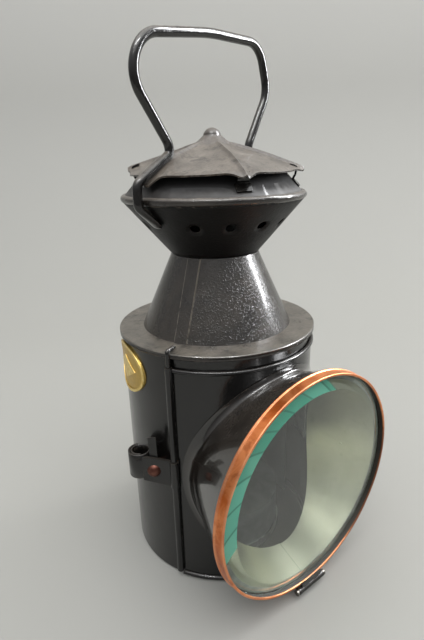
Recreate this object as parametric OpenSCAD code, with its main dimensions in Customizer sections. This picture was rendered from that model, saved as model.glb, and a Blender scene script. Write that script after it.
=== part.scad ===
// Railway hand lamp: japanned tinplate case, hinged front with a bevelled glass,
// conical chimney, pleated crown, fixed wire handle and a lift-out oil burner.
// Millimetres. Z is the case's centre line, the lamp rests on z = 0 and the glass faces -Y.
// Azimuths are counted about Z from the glass side (-Y) towards +X.

/* [Case] */
// Outer radius of the case
case_r = 60; // [58:0.5:62]
// Height of the underside of the hood flange
case_h = 151.6; // [148:0.2:156]
// Thickness of the tinplate
sheet = 0.8; // [0.6:0.05:0.9]
// Azimuth of the hinge seam, and of the catch seam on the other side
seam_az = 64; // [62:1:68]
// Height of the centre of the front door's top bead
door_bead_z = 144.4; // [142:0.2:146]

/* [Glass and reflector] */
// Height of the centre of the glass
lens_z = 76; // [75:0.5:80]
// Distance of the bezel's front face from the centre line
lens_front = 86; // [84:0.5:90]
// Outer radius of the copper bezel
bezel_r = 67.7; // [67:0.1:69]
// Radius of the glass
glass_r = 66.5; // [65.8:0.1:66.6]
// Width of the bevel on the glass
bevel_w = 8.5; // [6:0.5:10]
// Growth of the reflector hood's radius per millimetre forward
flare = 0.4; // [0.36:0.01:0.44]

/* [Hood and crown] */
// Radius of the foot of the chimney cone
cone_r = 46.5; // [44:0.5:50]
// Radius of the neck between the cone and the vent bowl
neck_r = 26.5; // [25:0.1:28]
// Height of the neck
neck_z = 199; // [195:0.5:203]
// Radius of the bowl's rim, at the centre of its bead
rim_r = 52.1; // [51:0.1:54]
// Height of the bowl's rim, at the centre of its bead
rim_z = 231.8; // [230:0.2:234]
// Stations of the round vents in the bowl, two of them under the handle's legs
vents = 14; // [10:2:16]
// Diameter of a vent
vent_d = 5.6; // [4:0.2:7]
// Height of the crown's apex
crown_z = 263.3; // [260:0.1:268]
// Radius of the crown's corners
crown_r = 52; // [51:0.5:53]

/* [Handle] */
// Diameter of the handle wire
handle_d = 5; // [4:0.5:5.5]
// Height of the wire's centre line at the top
handle_z = 314.4; // [308:0.2:322]
// Azimuth of the handle's near leg
handle_az = -80; // [-90:1:-75]

/* [Name plate] */
// Azimuth of the oval plate
plate_az = -103; // [-106:1:-98]
// Height of its centre
plate_z = 135; // [128:0.5:136]
// Half width of the plate
plate_a = 22; // [18:0.5:24]
// Half height of the plate
plate_b = 15; // [12:0.5:15.5]

/* [Hinges and socket] */
// Diameter of the door's hinge pin
door_pin_d = 2.6; // [2.4:0.1:3]
// Diameter of the bezel's hinge pin
bezel_pin_d = 2; // [1.8:0.1:2.2]
// Bore of the side socket
socket_bore = 8.4; // [7:0.1:9]
// Outer diameter of the side socket
socket_od = 13.4; // [12.6:0.1:14]
// Azimuth of the side socket
socket_az = -82; // [-84:1:-80]

/* [Burner] */
// Radius of the oil font
font_r = 38; // [34:0.5:39]
// Height of the oil font's body
font_h = 30; // [26:1:32]
// Width of the flat wick
wick_w = 15.4; // [14:0.2:15.8]
// Radius of the wick wheels
wheel_r = 3.6; // [3.4:0.1:3.8]

/* [Hidden] */
$fn = 96;

fit_gap = 0.05;          // radial running clearance
door_gap = 0.2;          // clearance between the door and what it closes over
solder = 0.05;           // thickness of a soldered joint
slop = 1;                // overshoot of a cutting solid

inner_r = case_r - sheet;
door_in_r = inner_r + door_gap;
door_out_r = door_in_r + sheet;
pan_h = 6;
shell_z0 = 1.2;
flange_h = 3;
flange_r = case_r + 1.5;
flange_z = case_h + flange_h;

// Door hinge: a wire pin outside the case wall
hinge_r = case_r + 1.4;
knuckle_r = 2.1;
hinge_x = hinge_r * sin(-seam_az);
hinge_y = -hinge_r * cos(seam_az);
seam_gap = 2.5;          // degrees between the seam and the rear shell's edge on the hinge side
catch_gap = 0.5;         // the same on the catch side
door_z0 = 4.4;
strap_z0 = 69;
strap_z1 = 86.5;
strap_clear = 0.6;

// Glass front
bezel_depth = 7;
bezel_in_r = bezel_r - sheet;
bezel_lip_r = bezel_r - 1.7;
mouth_gap = 0.2;         // between the closed bezel and the hood's mouth
hood_front_y = -lens_front + bezel_depth + mouth_gap;
hood_front_r = bezel_in_r - 0.3;
glass_back_y = -lens_front + bezel_depth - 0.1;
lip_y = -lens_front + sheet;
bevel_drop = 2.5;
glass_front_y = -lens_front + 0.6;
reflector_step = 1.6;    // from the hood's outside to the reflector's outside
liner_t = 0.6;           // thickness of the reflector
hood_back = 20;          // where the hood's cone is begun, inside the case

// Hinge of the glass front, under the front edge of the bezel
leaf_t = 1.2;
leaf_gap = 0.3;
brim_gap = 0.25;         // room for a part to pass another's rim
hinge2_r = 2;            // radius of its knuckles
hinge2_y = -lens_front - 0.2;
hinge2_z = lens_z - bezel_r - hinge2_r - 0.7;

// Bowl and crown
rim_bead_r = 2.1;
bowl_neck_r = neck_r - sheet - 0.3;
bowl_top_r = 40.5;
bowl_top_slope = 1.1;
bowl_top_z0 = rim_z + 1;
bowl_top_wall = 1.1;     // measured along the radius
crown_corners = 6;
crown_slope = 0.303;     // fall of a ridge per millimetre outward
crown_cap_r = 5;
crown_mid_r = 36;
crown_stations = [0, 10, 30, 50];        // angles from a corner to the four stations after it
corner_drop = [7.3, 3.7, 1.8, 7.3, 3, -0.6];   // how far each corner is turned down
vent_az = -52;           // azimuth of the first vent
vent_at = 42;
bowl_foot_r = neck_r + 0.4;              // outside of the bowl at its foot
bowl_foot_z = neck_z + 0.6;
bowl_brim = [rim_r + 1.2, rim_z - 1.5];  // outside of the bowl at its brim
bowl_tilt = atan2(bowl_brim[1] - bowl_foot_z, bowl_brim[0] - bowl_foot_r);
bowl_root = 6;                           // how far the bowl's neck reaches into the cone
function bowl_at(r) = bowl_foot_z + (r - bowl_foot_r) * tan(bowl_tilt);

// Burner
pan_floor = 1;
font_z0 = pan_floor;
font_z1 = font_z0 + font_h;
font_top = font_z1 + 3;
burner_r = 13;
burner_z1 = font_top + 16;
cap_h = 6;
wick_t = 2.2;
tube_w = wick_w + 2.4;
tube_t = 2 * wick_t;
spindle_r = 1.2;
spindle_y = wick_t / 2 + wheel_r + fit_gap;
spindle_z = font_top + 9;
spindle_end = 31;
wheel_x = 4;
filler_az = 140;
filler_at = 27;
filler_neck_r = 6;
filler_top = font_top + 4;

// Turns a shape drawn on the glass side to an azimuth
module at_az(az) {
    rotate([0, 0, az]) children();
}

// A band of a turned profile between two azimuths
module band(az0, az1) {
    rotate([0, 0, az0 - 90]) rotate_extrude(angle = az1 - az0) children();
}

// Lays a shape turned about Z along the glass axis, its +Z forward of the case
module along_glass() {
    translate([0, 0, lens_z]) rotate([90, 0, 0]) children();
}

// Radius of the reflector hood's outside at a distance forward of the centre line
function hood_at(d) = hood_front_r + flare * (d + hood_front_y);

// Solid cone of the reflector hood, made smaller by an inset
module hood_core(inset, d0, d1) {
    translate([0, 0, d0])
        cylinder(h = d1 - d0, r1 = hood_at(d0) - inset, r2 = hood_at(d1) - inset);
}

// Centre line of a bent wire as [u, v, heading], from its corners and their bend radii
function unit(a) = a / norm(a);
function heading(a, b) = atan2(b[1] - a[1], b[0] - a[0]);
function wire_turn(points, i) =
    let (p = unit(points[i] - points[i - 1]), q = unit(points[i + 1] - points[i]))
    atan2(p[0] * q[1] - p[1] * q[0], p * q);
function wire_bend(points, bends, i, steps) =
    let (turn = wire_turn(points, i), side = sign(turn), into = heading(points[i - 1], points[i]),
         start = points[i] - unit(points[i] - points[i - 1]) * bends[i] * abs(tan(turn / 2)),
         centre = start + side * bends[i] * [-sin(into), cos(into)])
    [for (j = [0 : steps]) let (h = into + turn * j / steps)
        [centre[0] + side * bends[i] * sin(h), centre[1] - side * bends[i] * cos(h), h]];
function wire_line(points, bends, steps = 6) = let (last = len(points) - 1)
    concat([[points[0][0], points[0][1], heading(points[0], points[1])]],
           [for (i = [1 : last - 1]) each wire_bend(points, bends, i, steps)],
           [[points[last][0], points[last][1], heading(points[last - 1], points[last])]]);

// Round wire in the XZ plane along a centre line
module bent_wire(line, d, sides = 16) {
    last = len(line) - 1;
    skin = [for (p = line, k = [0 : sides - 1]) let (t = 360 * k / sides)
        [p[0] - sin(p[2]) * d / 2 * cos(t), d / 2 * sin(t), p[1] + cos(p[2]) * d / 2 * cos(t)]];
    walls = [for (i = [0 : last - 1], k = [0 : sides - 1]) let (a = i * sides + k,
        b = i * sides + (k + 1) % sides) [a, b, b + sides, a + sides]];
    polyhedron(points = skin, faces = concat([[for (k = [sides - 1 : -1 : 0]) k]], walls,
        [[for (k = [0 : sides - 1]) last * sides + k]]));
}

// Points of an ellipse
function ellipse(a, b, n = 48) = [for (i = [0 : n - 1]) [a * cos(360 * i / n), b * sin(360 * i / n)]];

module base_pan() {
    wall_r = inner_r - solder;
    corner = 1;
    color("#2b2a29") rotate_extrude()
        polygon([[0, 0], [wall_r - corner, 0], [wall_r, corner], [wall_r, pan_h],
                 [wall_r - sheet, pan_h], [wall_r - sheet, pan_floor + corner / 2],
                 [wall_r - sheet - corner / 2, pan_floor], [0, pan_floor]]);
}

module rear_shell() {
    color("#323130") band(seam_az + catch_gap, 360 - seam_az - seam_gap)
        translate([inner_r, shell_z0]) square([sheet, case_h - shell_z0]);
}

module hood_collar() {
    depth = 13;
    color("#1f1e1e") rotate_extrude()
        translate([inner_r - solder - sheet, case_h - depth]) square([sheet, depth]);
}

module hood_flange() {
    hole_r = cone_r - 3;
    lip_in_r = flange_r - 2.4;
    ease = 0.4;
    groove = 0.3;
    waist = case_h + 1.3;
    color("#3a3836") difference() {
        rotate_extrude()
            polygon([[hole_r, flange_z - sheet], [lip_in_r, flange_z - sheet],
                     [lip_in_r, case_h], [flange_r - groove, case_h], [flange_r, case_h + ease],
                     [flange_r - groove, waist], [flange_r, waist + 2 * groove],
                     [flange_r, flange_z - ease], [flange_r - ease, flange_z], [hole_r, flange_z]]);
        translate([hinge_x, hinge_y, case_h - slop])
            cylinder(h = flange_h + 2 * slop, d = door_pin_d + 2 * fit_gap);
    }
}

module chimney_cone() {
    lap_az = -64.5;
    lap_w = 8;
    lap_in = 0.4;
    lap_out = 0.6;
    color("#3a3836") {
        rotate_extrude()
            polygon([[cone_r, flange_z], [neck_r, neck_z], [neck_r - sheet, neck_z],
                     [cone_r - sheet, flange_z]]);
        // Lap seam: a second thickness of sheet over a band of even width
        intersection() {
            rotate_extrude()
                polygon([[cone_r - lap_in, flange_z], [cone_r + lap_out, flange_z],
                         [neck_r + lap_out, neck_z], [neck_r - lap_in, neck_z]]);
            at_az(lap_az) translate([-lap_w / 2, -cone_r - lap_w, flange_z - slop])
                cube([lap_w, cone_r, neck_z - flange_z + 2 * slop]);
        }
    }
}

module vent_bowl() {
    wall = sheet + 0.3;      // measured along the radius
    brim_r = bowl_brim[0];
    step_r = bowl_foot_r - wall - 0.3;
    punch = 8;
    color("#33312f") difference() {
        rotate_extrude()
            polygon([[bowl_neck_r, neck_z - bowl_root], [bowl_neck_r, neck_z],
                     [bowl_foot_r, neck_z], [bowl_foot_r, bowl_foot_z], [brim_r, bowl_at(brim_r)],
                     [brim_r - wall, bowl_at(brim_r)], [step_r, bowl_foot_z + 0.2],
                     [bowl_neck_r - sheet, bowl_foot_z - 0.4],
                     [bowl_neck_r - sheet, neck_z - bowl_root]]);
        // None is punched where the handle's two legs lie
        for (i = [0 : vents - 1]) if ((i + 1) % (vents / 2) != 0)
            at_az(vent_az + 360 * i / vents) translate([0, -vent_at, bowl_at(vent_at)])
                rotate([180 - bowl_tilt, 0, 0]) translate([0, 0, -punch / 2])
                    cylinder(h = punch, d = vent_d, $fn = 32);
    }
}

module bowl_rim_bead() {
    color("#3a3836") rotate_extrude() translate([rim_r, rim_z]) circle(r = rim_bead_r, $fn = 48);
}

function bowl_top_at(r) = bowl_top_z0 + bowl_top_slope * (rim_r - r);

module bowl_top() {
    color("#3a3836") rotate_extrude()
        polygon([[rim_r, bowl_top_at(rim_r)], [bowl_top_r, bowl_top_at(bowl_top_r)],
                 [bowl_top_r - bowl_top_wall, bowl_top_at(bowl_top_r)],
                 [rim_r - bowl_top_wall, bowl_top_at(rim_r)]]);
}

module inner_chimney() {
    below_neck = 12;
    tall = 44;
    color("#8d8f8c") rotate_extrude()
        translate([bowl_neck_r - 2 * sheet - solder, neck_z - below_neck]) square([sheet, tall]);
}

// Share of the corners' turn-down that is spent at the crown's middle radius
crown_mid_share = 0.33;

// Height of the crown's flat facets at a radius and an angle from the nearest corner
function facet_at(r, off) = let (half = 180 / crown_corners)
    crown_z - crown_slope * r * cos(half - off) / cos(half);

// One ring of the crown: four stations per corner, at a share of the corners' turn-down
function crown_ring(radii, share, drop) = [for (i = [0 : 4 * crown_corners - 1])
    let (station = i % 4,
         sector = 360 / crown_corners,
         off = min(crown_stations[station], sector - crown_stations[station]),
         az = handle_az + sector * floor(i / 4) + crown_stations[station],
         r = radii[min(station, 4 - station)],
         fold = station == 0 ? share * corner_drop[floor(i / 4)] : 0)
    [r * sin(az), -r * cos(az), facet_at(r, off) - fold - drop]];

module crown() {
    n = 4 * crown_corners;
    beside_corner_in = 1.8;
    arch_in = 4.5;
    cap = [crown_cap_r, crown_cap_r, crown_cap_r];
    middle = [crown_mid_r, crown_mid_r, crown_mid_r];
    edge = [crown_r, crown_r - beside_corner_in, crown_r - arch_in];
    rings = concat(crown_ring(cap, 0, 0), crown_ring(middle, crown_mid_share, 0),
                   crown_ring(edge, 1, 0), crown_ring(edge, 1, sheet),
                   crown_ring(middle, crown_mid_share, sheet), crown_ring(cap, 0, sheet));
    points = concat(rings, [[0, 0, crown_z], [0, 0, crown_z - sheet]]);
    walls = [for (k = [0 : 4], i = [0 : n - 1], half = [0, 1])
        let (a = k * n + i, b = k * n + (i + 1) % n, c = a + n, e = b + n)
        half == 0 ? [a, b, c] : [b, e, c]];
    top = [for (i = [0 : n - 1]) [6 * n, (i + 1) % n, i]];
    under = [for (i = [0 : n - 1]) [6 * n + 1, 5 * n + i, 5 * n + (i + 1) % n]];
    color("#6e6862") polyhedron(points = points, faces = concat(walls, top, under));
}

// Underside of a turned-down corner of the crown
function corner_under(k, r) = facet_at(r, 0) - sheet
    - corner_drop[k] * (r - crown_mid_r) / (crown_r - crown_mid_r);

// Folded strips: each has a foot on the bowl top and a riser to a corner of the crown
module crown_struts() {
    width = 5;
    thick = 0.8;
    foot_len = 4;
    foot_r = crown_r - 6;
    riser_r = foot_r + 2.8;
    bite = 0.3;
    heel = bowl_top_at(foot_r);
    toe = bowl_top_at(foot_r + foot_len);
    color("#3a3836") for (k = [1, 2, 4, 5]) let (top = corner_under(k, riser_r))
        at_az(handle_az + 360 / crown_corners * k) rotate([90, 0, -90])
            translate([0, 0, -width / 2]) linear_extrude(width)
                polygon([[foot_r, heel], [foot_r + foot_len, toe],
                         [foot_r + foot_len + thick / 2, toe + thick],
                         [foot_r + 2 * thick, heel + 1.7 * thick], [riser_r, top + bite],
                         [riser_r - thick, top + 1.7 * bite], [foot_r, heel + thick]]);
}

module crown_finial() {
    ball_r = 5.6;
    ball_z = crown_z - 0.4;
    foot_z = facet_at(ball_r, 0);
    color("#4a4642") intersection() {
        translate([0, 0, ball_z]) sphere(r = ball_r);
        translate([0, 0, foot_z]) cylinder(h = 2 * ball_r, r = ball_r + slop);
    }
}

handle_foot_r = 44.5;    // where the wire ends against the bowl
handle_kink_in = 2.5;    // the wire turns up this far inside the crown's middle radius
handle_kink = [0.3, 4.5];                // its short upright run there
handle_ride = 0.3;       // room between the wire and the crown's ridge
function handle_bend_r(rest) = rim_bead_r + rest + brim_gap;

// Half of the handle's centre line, from its foot on the bowl up to the shoulder of the grip
function handle_half(elbow, shoulder) =
    let (rest = handle_d / 2 + fit_gap,
         bead_gap = handle_bend_r(rest),
         rim_u = rim_r + bead_gap,
         foot = [handle_foot_r + (rest + brim_gap) * sin(bowl_tilt),
                 bowl_at(handle_foot_r) - (rest + brim_gap) * cos(bowl_tilt)],
         reach = norm([rim_r, rim_z] - foot),
         lean = atan2(rim_z - foot[1], rim_r - foot[0]) - asin(bead_gap / reach),
         rim_v = foot[1] + (rim_u - foot[0]) * tan(lean),
         mid_z = facet_at(crown_mid_r, 0) - crown_mid_share * corner_drop[0],
         slope = (mid_z - facet_at(crown_r, 0) + corner_drop[0]) / (crown_r - crown_mid_r),
         kink_u = crown_mid_r - handle_kink_in,
         kink_v = mid_z + handle_kink_in * slope + (rest + handle_ride) / cos(atan(slope)),
         kink = [kink_u, kink_v])
    [foot, [rim_u, rim_v], [rim_u, kink_v - (rim_u - kink_u) * slope], kink, kink + handle_kink,
     elbow, shoulder];

// The wire is bent by hand: its near shoulder is rounder and lower than the far one
module handle() {
    near_elbow = [56, handle_z - 24.9];
    near_shoulder = [47.5, handle_z - 6.2];
    far_elbow = [52.5, handle_z - 24.4];
    far_shoulder = [44.5, handle_z + 1.4];
    middle = [0, handle_z + 0.4];
    near = handle_half(near_elbow, near_shoulder);
    far = handle_half(far_elbow, far_shoulder);
    foot_bends = [0, handle_bend_r(handle_d / 2 + fit_gap), 5, 3.2, 9];
    grip_bends = [17, 18, 150, 14, 17];
    last = len(near) - 1;
    back = [for (i = [last : -1 : 0]) [-far[i][0], far[i][1]]];
    points = concat(near, [middle], back);
    bends = concat(foot_bends, grip_bends, [for (i = [len(foot_bends) - 1 : -1 : 0]) foot_bends[i]]);
    color("#2a2826") at_az(handle_az - 90) bent_wire(wire_line(points, bends), handle_d);
}

module hinge_pin() {
    bend = 1.5;
    nose = 5.5;
    bend_z = flange_z - fit_gap;
    tail_z = door_z0 - 1;
    color("#1d1c1b") translate([hinge_x, hinge_y, 0]) rotate([0, 0, 90 - seam_az]) {
        translate([0, 0, tail_z]) cylinder(h = bend_z - tail_z, d = door_pin_d);
        translate([bend, 0, bend_z]) rotate([90, 0, 0]) rotate([0, 0, 90]) rotate_extrude(angle = 90)
            translate([bend, 0]) circle(d = door_pin_d, $fn = 32);
        translate([bend, 0, bend_z + bend]) rotate([0, 90, 0]) cylinder(h = nose, d = door_pin_d);
    }
}

// The strap runs from the hinge pin and lies against the outer side of the socket
socket_r = case_r + 8.6;
socket_x = socket_r * sin(socket_az);
socket_y = -socket_r * cos(socket_az);
socket_z0 = 75.5;
socket_len = 16;
socket_away = norm([socket_x - hinge_x, socket_y - hinge_y]);
strap_side = 5.5;        // from the socket's centre to the middle of the strap
strap_len = sqrt(pow(socket_away, 2) - pow(strap_side, 2));
strap_dir = atan2(socket_y - hinge_y, socket_x - hinge_x) + asin(strap_side / socket_away);
strap_t = 1.6;
strap_rise = 5.5;        // the strap climbs from the pin to the socket
rivet_at = 12;
rivet_z = 80.5;
rivet_r = 1.6;

// Places a shape at the hinge pin with X running along the strap to the socket
module on_strap() {
    translate([hinge_x, hinge_y, 0]) rotate([0, 0, strap_dir]) children();
}

module socket_bracket() {
    eye_r = 2.8;
    tip = strap_len - 2;
    tip_fall = 1.5;
    color("#2f2d2c") difference() {
        union() {
            on_strap() translate([0, strap_t / 2, 0]) rotate([90, 0, 0]) linear_extrude(strap_t)
                polygon([[0, strap_z0], [tip, strap_z0 + strap_rise], [tip, strap_z1 + strap_rise - tip_fall],
                         [0, strap_z1]]);
            on_strap() translate([0, 0, strap_z0]) cylinder(h = strap_z1 - strap_z0, r = eye_r);
        }
        on_strap() translate([0, 0, strap_z0 - slop])
            cylinder(h = strap_z1 - strap_z0 + strap_rise + 2 * slop, d = door_pin_d + 2 * fit_gap);
        translate([socket_x, socket_y, strap_z0 - slop])
            cylinder(h = strap_z1 - strap_z0 + strap_rise + 2 * slop, d = socket_od + 2 * solder);
    }
}

module socket_tube() {
    color("#2f2d2c") translate([socket_x, socket_y, socket_z0]) difference() {
        cylinder(h = socket_len, d = socket_od);
        translate([0, 0, -slop]) cylinder(h = socket_len + 2 * slop, d = socket_bore);
    }
}

// Thin leaf between the strap and the case, standing up behind the socket
module socket_spring() {
    blade = 0.7;
    width = 4.6;
    lean = 1.4;
    foot_z = strap_z0 + 5;
    bend_z = strap_z1 + strap_rise - 1;
    top_z = bend_z + 12;
    back = -strap_t / 2 - solder;
    color("#454341") on_strap() translate([rivet_at - width / 2, 0, 0])
        rotate([90, 0, 90]) linear_extrude(width)
            polygon([[back, foot_z], [back, bend_z], [back + lean, top_z],
                     [back + lean - blade, top_z], [back - blade, bend_z + 0.2],
                     [back - blade, foot_z]]);
}

module bracket_rivet() {
    shank = 10.4;
    head_r = 4;
    head_drop = 2.6;
    color("#6b5652") on_strap() translate([rivet_at, 0, rivet_z]) rotate([-90, 0, 0]) {
        translate([0, 0, -shank]) cylinder(h = shank + strap_t / 2, r = rivet_r, $fn = 32);
        translate([0, 0, strap_t / 2]) intersection() {
            translate([0, 0, -head_drop]) sphere(r = norm([head_r, head_drop]), $fn = 32);
            cylinder(h = head_r, r = head_r, $fn = 32);
        }
    }
}

// A prism through the case wall, drawn as seen from outside
module wall_prism() {
    inside = 8;
    outside = 4;
    rotate([90, 0, 0]) translate([0, 0, case_r - inside]) linear_extrude(inside + outside) children();
}

module oval_prism(a, b) {
    wall_prism() polygon(ellipse(a, b));
}

// A pad of the case's own curvature between two radii
module curved_pad(r0, r1) {
    intersection() {
        children();
        translate([0, 0, -plate_b - slop]) difference() {
            cylinder(h = 2 * (plate_b + slop), r = r1);
            translate([0, 0, -slop]) cylinder(h = 2 * (plate_b + 2 * slop), r = r0);
        }
    }
}

module oval_plate() {
    face_r = case_r + sheet;
    border = 1.6;
    border_rise = 0.6;
    lozenge_rise = 0.4;
    lozenge_a = plate_a * 0.6;
    lozenge_b = plate_b * 0.5;
    color("#c9a94e") at_az(plate_az) translate([0, 0, plate_z]) {
        curved_pad(case_r, face_r) oval_prism(plate_a, plate_b);
        curved_pad(face_r, face_r + border_rise) difference() {
            oval_prism(plate_a, plate_b);
            oval_prism(plate_a - border, plate_b - border);
        }
        // Plain lozenge ornament
        curved_pad(face_r, face_r + lozenge_rise) wall_prism()
            polygon([[-lozenge_a, 0], [0, lozenge_b], [lozenge_a, 0], [0, -lozenge_b]]);
    }
}

module catch_tongue() {
    tongue_z = 62;
    tongue_h = 32;
    behind_door = 7;
    past_seam = 9;
    color("#8d8f8c") band(seam_az - behind_door, seam_az + past_seam)
        translate([inner_r - solder - sheet, tongue_z]) square([sheet, tongue_h]);
}

module rear_reflector() {
    reflector_r = font_r + 15.6;
    edge_az = 78;
    tall = 136;
    color("#b9bcb4") band(edge_az, 360 - edge_az)
        translate([reflector_r, pan_floor + solder]) square([liner_t, tall]);
}

module font_ring() {
    ring_h = 5;
    ring_gap = 0.3;
    color("#8d8f8c") rotate_extrude()
        translate([font_r + ring_gap, pan_floor + solder]) square([sheet, ring_h]);
}

// Section of a bead rolled outward from the door's sheet
module bead_section(z, r) {
    difference() {
        translate([door_out_r, z]) circle(r = r, $fn = 48);
        translate([door_in_r - 2 * r, z - 2 * r]) square([2 * r, 4 * r]);
    }
}

module door_shell() {
    near_az = -seam_az + 1.6;
    strap_cut = 3.4;
    foot_bead_z = 2.2;
    top_bead_r = 1.3;
    foot_bead_r = 1.5;
    top_z = door_bead_z + 2;
    sides = [[door_z0, strap_z0 - strap_clear], [strap_z1 + strap_clear, top_z]];
    color("#2e2d2b") difference() {
        union() {
            band(near_az, seam_az) {
                translate([door_in_r, door_z0 - slop]) square([sheet, door_bead_z - door_z0 + slop]);
                bead_section(door_bead_z, top_bead_r);
                bead_section(foot_bead_z, foot_bead_r);
            }
            for (z = sides)
                translate([hinge_x, hinge_y, z[0]]) cylinder(h = z[1] - z[0], r = knuckle_r);
        }
        translate([hinge_x, hinge_y, 0]) cylinder(h = case_h, d = door_pin_d + 2 * fit_gap);
        translate([hinge_x, hinge_y, strap_z0 - strap_clear])
            cylinder(h = strap_z1 - strap_z0 + 2 * strap_clear, r = strap_cut);
        along_glass() hood_core(reflector_step, hood_back, lens_front);
    }
}

module reflector_hood() {
    color("#34322f") difference() {
        along_glass() difference() {
            hood_core(0, hood_back, -hood_front_y);
            hood_core(sheet, hood_back - slop, -hood_front_y + slop);
        }
        translate([0, 0, -slop]) cylinder(h = case_h, r = door_out_r + solder);
    }
}

module reflector_cone() {
    front = -hood_front_y - sheet - solder;
    color("#b9bcb4") difference() {
        along_glass() difference() {
            hood_core(reflector_step, hood_back, front);
            hood_core(reflector_step + liner_t, hood_back - slop, front + slop);
        }
        translate([0, 0, -slop]) cylinder(h = case_h, r = door_in_r);
    }
}

// Flat ring inside the hood's mouth that the glass closes against
module glass_seat() {
    ring_w = 3.6;
    seat_r = hood_at(-hood_front_y - sheet) - sheet - solder;
    color("#8d8f8c") along_glass() translate([0, 0, -hood_front_y - sheet]) difference() {
        cylinder(h = sheet, r = seat_r);
        translate([0, 0, -slop]) cylinder(h = sheet + 2 * slop, r = seat_r - ring_w);
    }
}

// Bent tab: one leg soldered to the door, the other standing out for a finger
module door_thumb_tab() {
    leg = 5;
    tall = 16;
    root = leg + door_gap;
    color("#34322f") at_az(seam_az - 3) translate([-leg / 2, -door_out_r - leg, lens_z - 4])
        linear_extrude(tall)
            polygon([[0, root], [0, leg - sheet], [leg - sheet, leg - sheet], [leg - sheet, 0],
                     [leg, 0], [leg, root]]);
}

// Knuckles of the glass hinge between pairs of X stations
module cross_knuckles(stations) {
    for (s = stations)
        translate([s[0], hinge2_y, hinge2_z]) rotate([0, 90, 0])
            cylinder(h = s[1] - s[0], r = hinge2_r, $fn = 48);
}

// Block in front of the glass hinge's stations, between two distances forward and two heights
module cross_block(x0, x1, y0, y1, z0, z1) {
    translate([x0, y0, z0]) cube([x1 - x0, y1 - y0, z1 - z0]);
}

module cross_bore() {
    half = 20;
    translate([-half, hinge2_y, hinge2_z]) rotate([0, 90, 0])
        cylinder(h = 2 * half, d = bezel_pin_d + 2 * fit_gap, $fn = 48);
}

// Strap under the bezel: knuckles at its front, soldered to the hood at its back
module hood_hinge_leaf() {
    stations = [[-10.6, -6.2], [-2, 2], [6.2, 10.6]];
    half = 10.6;
    block_y = -lens_front + leaf_gap;
    web_y = hinge2_y + hinge2_r + leaf_gap;
    lap = 5;
    lap_up = 6;
    strap_y = hood_front_y + lap;
    strap_top = lens_z - bezel_r - leaf_gap;
    color("#1d1c1b") difference() {
        union() {
            cross_knuckles(stations);
            for (s = stations)
                cross_block(s[0], s[1], block_y, web_y + slop, hinge2_z, strap_top);
            cross_block(-half, half, web_y, strap_y, hinge2_z, strap_top);
            cross_block(-half, half, hood_front_y, strap_y, hinge2_z, strap_top + lap_up);
        }
        cross_bore();
        along_glass() hood_core(-solder, hood_back, -hood_front_y + slop);
        along_glass() cylinder(h = lens_front + 2 * hinge2_r, r = bezel_r + leaf_gap);
    }
}

module bezel_hinge_pin() {
    half = 11.6;
    head_h = 1.2;
    head_r = 1.8;
    color("#55504b") translate([0, hinge2_y, hinge2_z]) rotate([0, 90, 0]) {
        translate([0, 0, -half]) cylinder(h = 2 * half, d = bezel_pin_d, $fn = 48);
        for (x = [-half - head_h / 2, half - head_h / 2])
            translate([0, 0, x]) cylinder(h = head_h, r = head_r, $fn = 32);
    }
}

module bezel() {
    round_r = 1.4;
    color("#c9743f") along_glass() translate([0, 0, lens_front]) rotate_extrude() {
        translate([bezel_in_r, -bezel_depth]) square([sheet, bezel_depth - round_r]);
        translate([bezel_lip_r, -sheet]) square([bezel_r - round_r - bezel_lip_r, sheet]);
        translate([bezel_r - round_r, -round_r]) intersection() {
            difference() {
                circle(r = round_r, $fn = 64);
                circle(r = round_r - sheet, $fn = 64);
            }
            square(round_r);
        }
    }
}

module glass() {
    color("#9fd0c0", 0.5) along_glass() rotate_extrude()
        polygon([[0, -glass_back_y], [glass_r, -glass_back_y],
                 [glass_r, -glass_front_y - bevel_drop], [glass_r - bevel_w, -glass_front_y],
                 [0, -glass_front_y]]);
}

// Putty round the glass, filling the bezel up to its lip
module glass_packing() {
    side_r = bezel_in_r - solder;
    inner_r = bezel_lip_r + 0.1;
    top = -lip_y - solder;
    corner = 0.7;
    bevel_front = -glass_front_y - bevel_drop + (glass_r - inner_r) * bevel_drop / bevel_w;
    color("#26231f") along_glass() rotate_extrude()
        polygon([[glass_r + solder, -glass_back_y], [side_r, -glass_back_y],
                 [side_r, top - corner], [side_r - corner, top], [inner_r, top],
                 [inner_r, bevel_front + solder],
                 [glass_r + solder, -glass_front_y - bevel_drop + solder]]);
}

// Plate over the bezel's front edge, with its knuckles between those of the strap
module bezel_hinge_leaf() {
    stations = [[-6, -2.2], [2.2, 6]];
    half = 8.4;
    face_y = -lens_front - solder;
    lip_cover = 0.6;
    plate_z0 = hinge2_z + hinge2_r + brim_gap;
    plate_z1 = lens_z - bezel_lip_r + lip_cover;
    color("#1d1c1b") difference() {
        union() {
            cross_knuckles(stations);
            for (s = stations)
                cross_block(s[0], s[1], face_y - leaf_t, face_y, hinge2_z, plate_z0);
            cross_block(-half, half, face_y - leaf_t, face_y, plate_z0, plate_z1);
        }
        cross_bore();
    }
}

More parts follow.
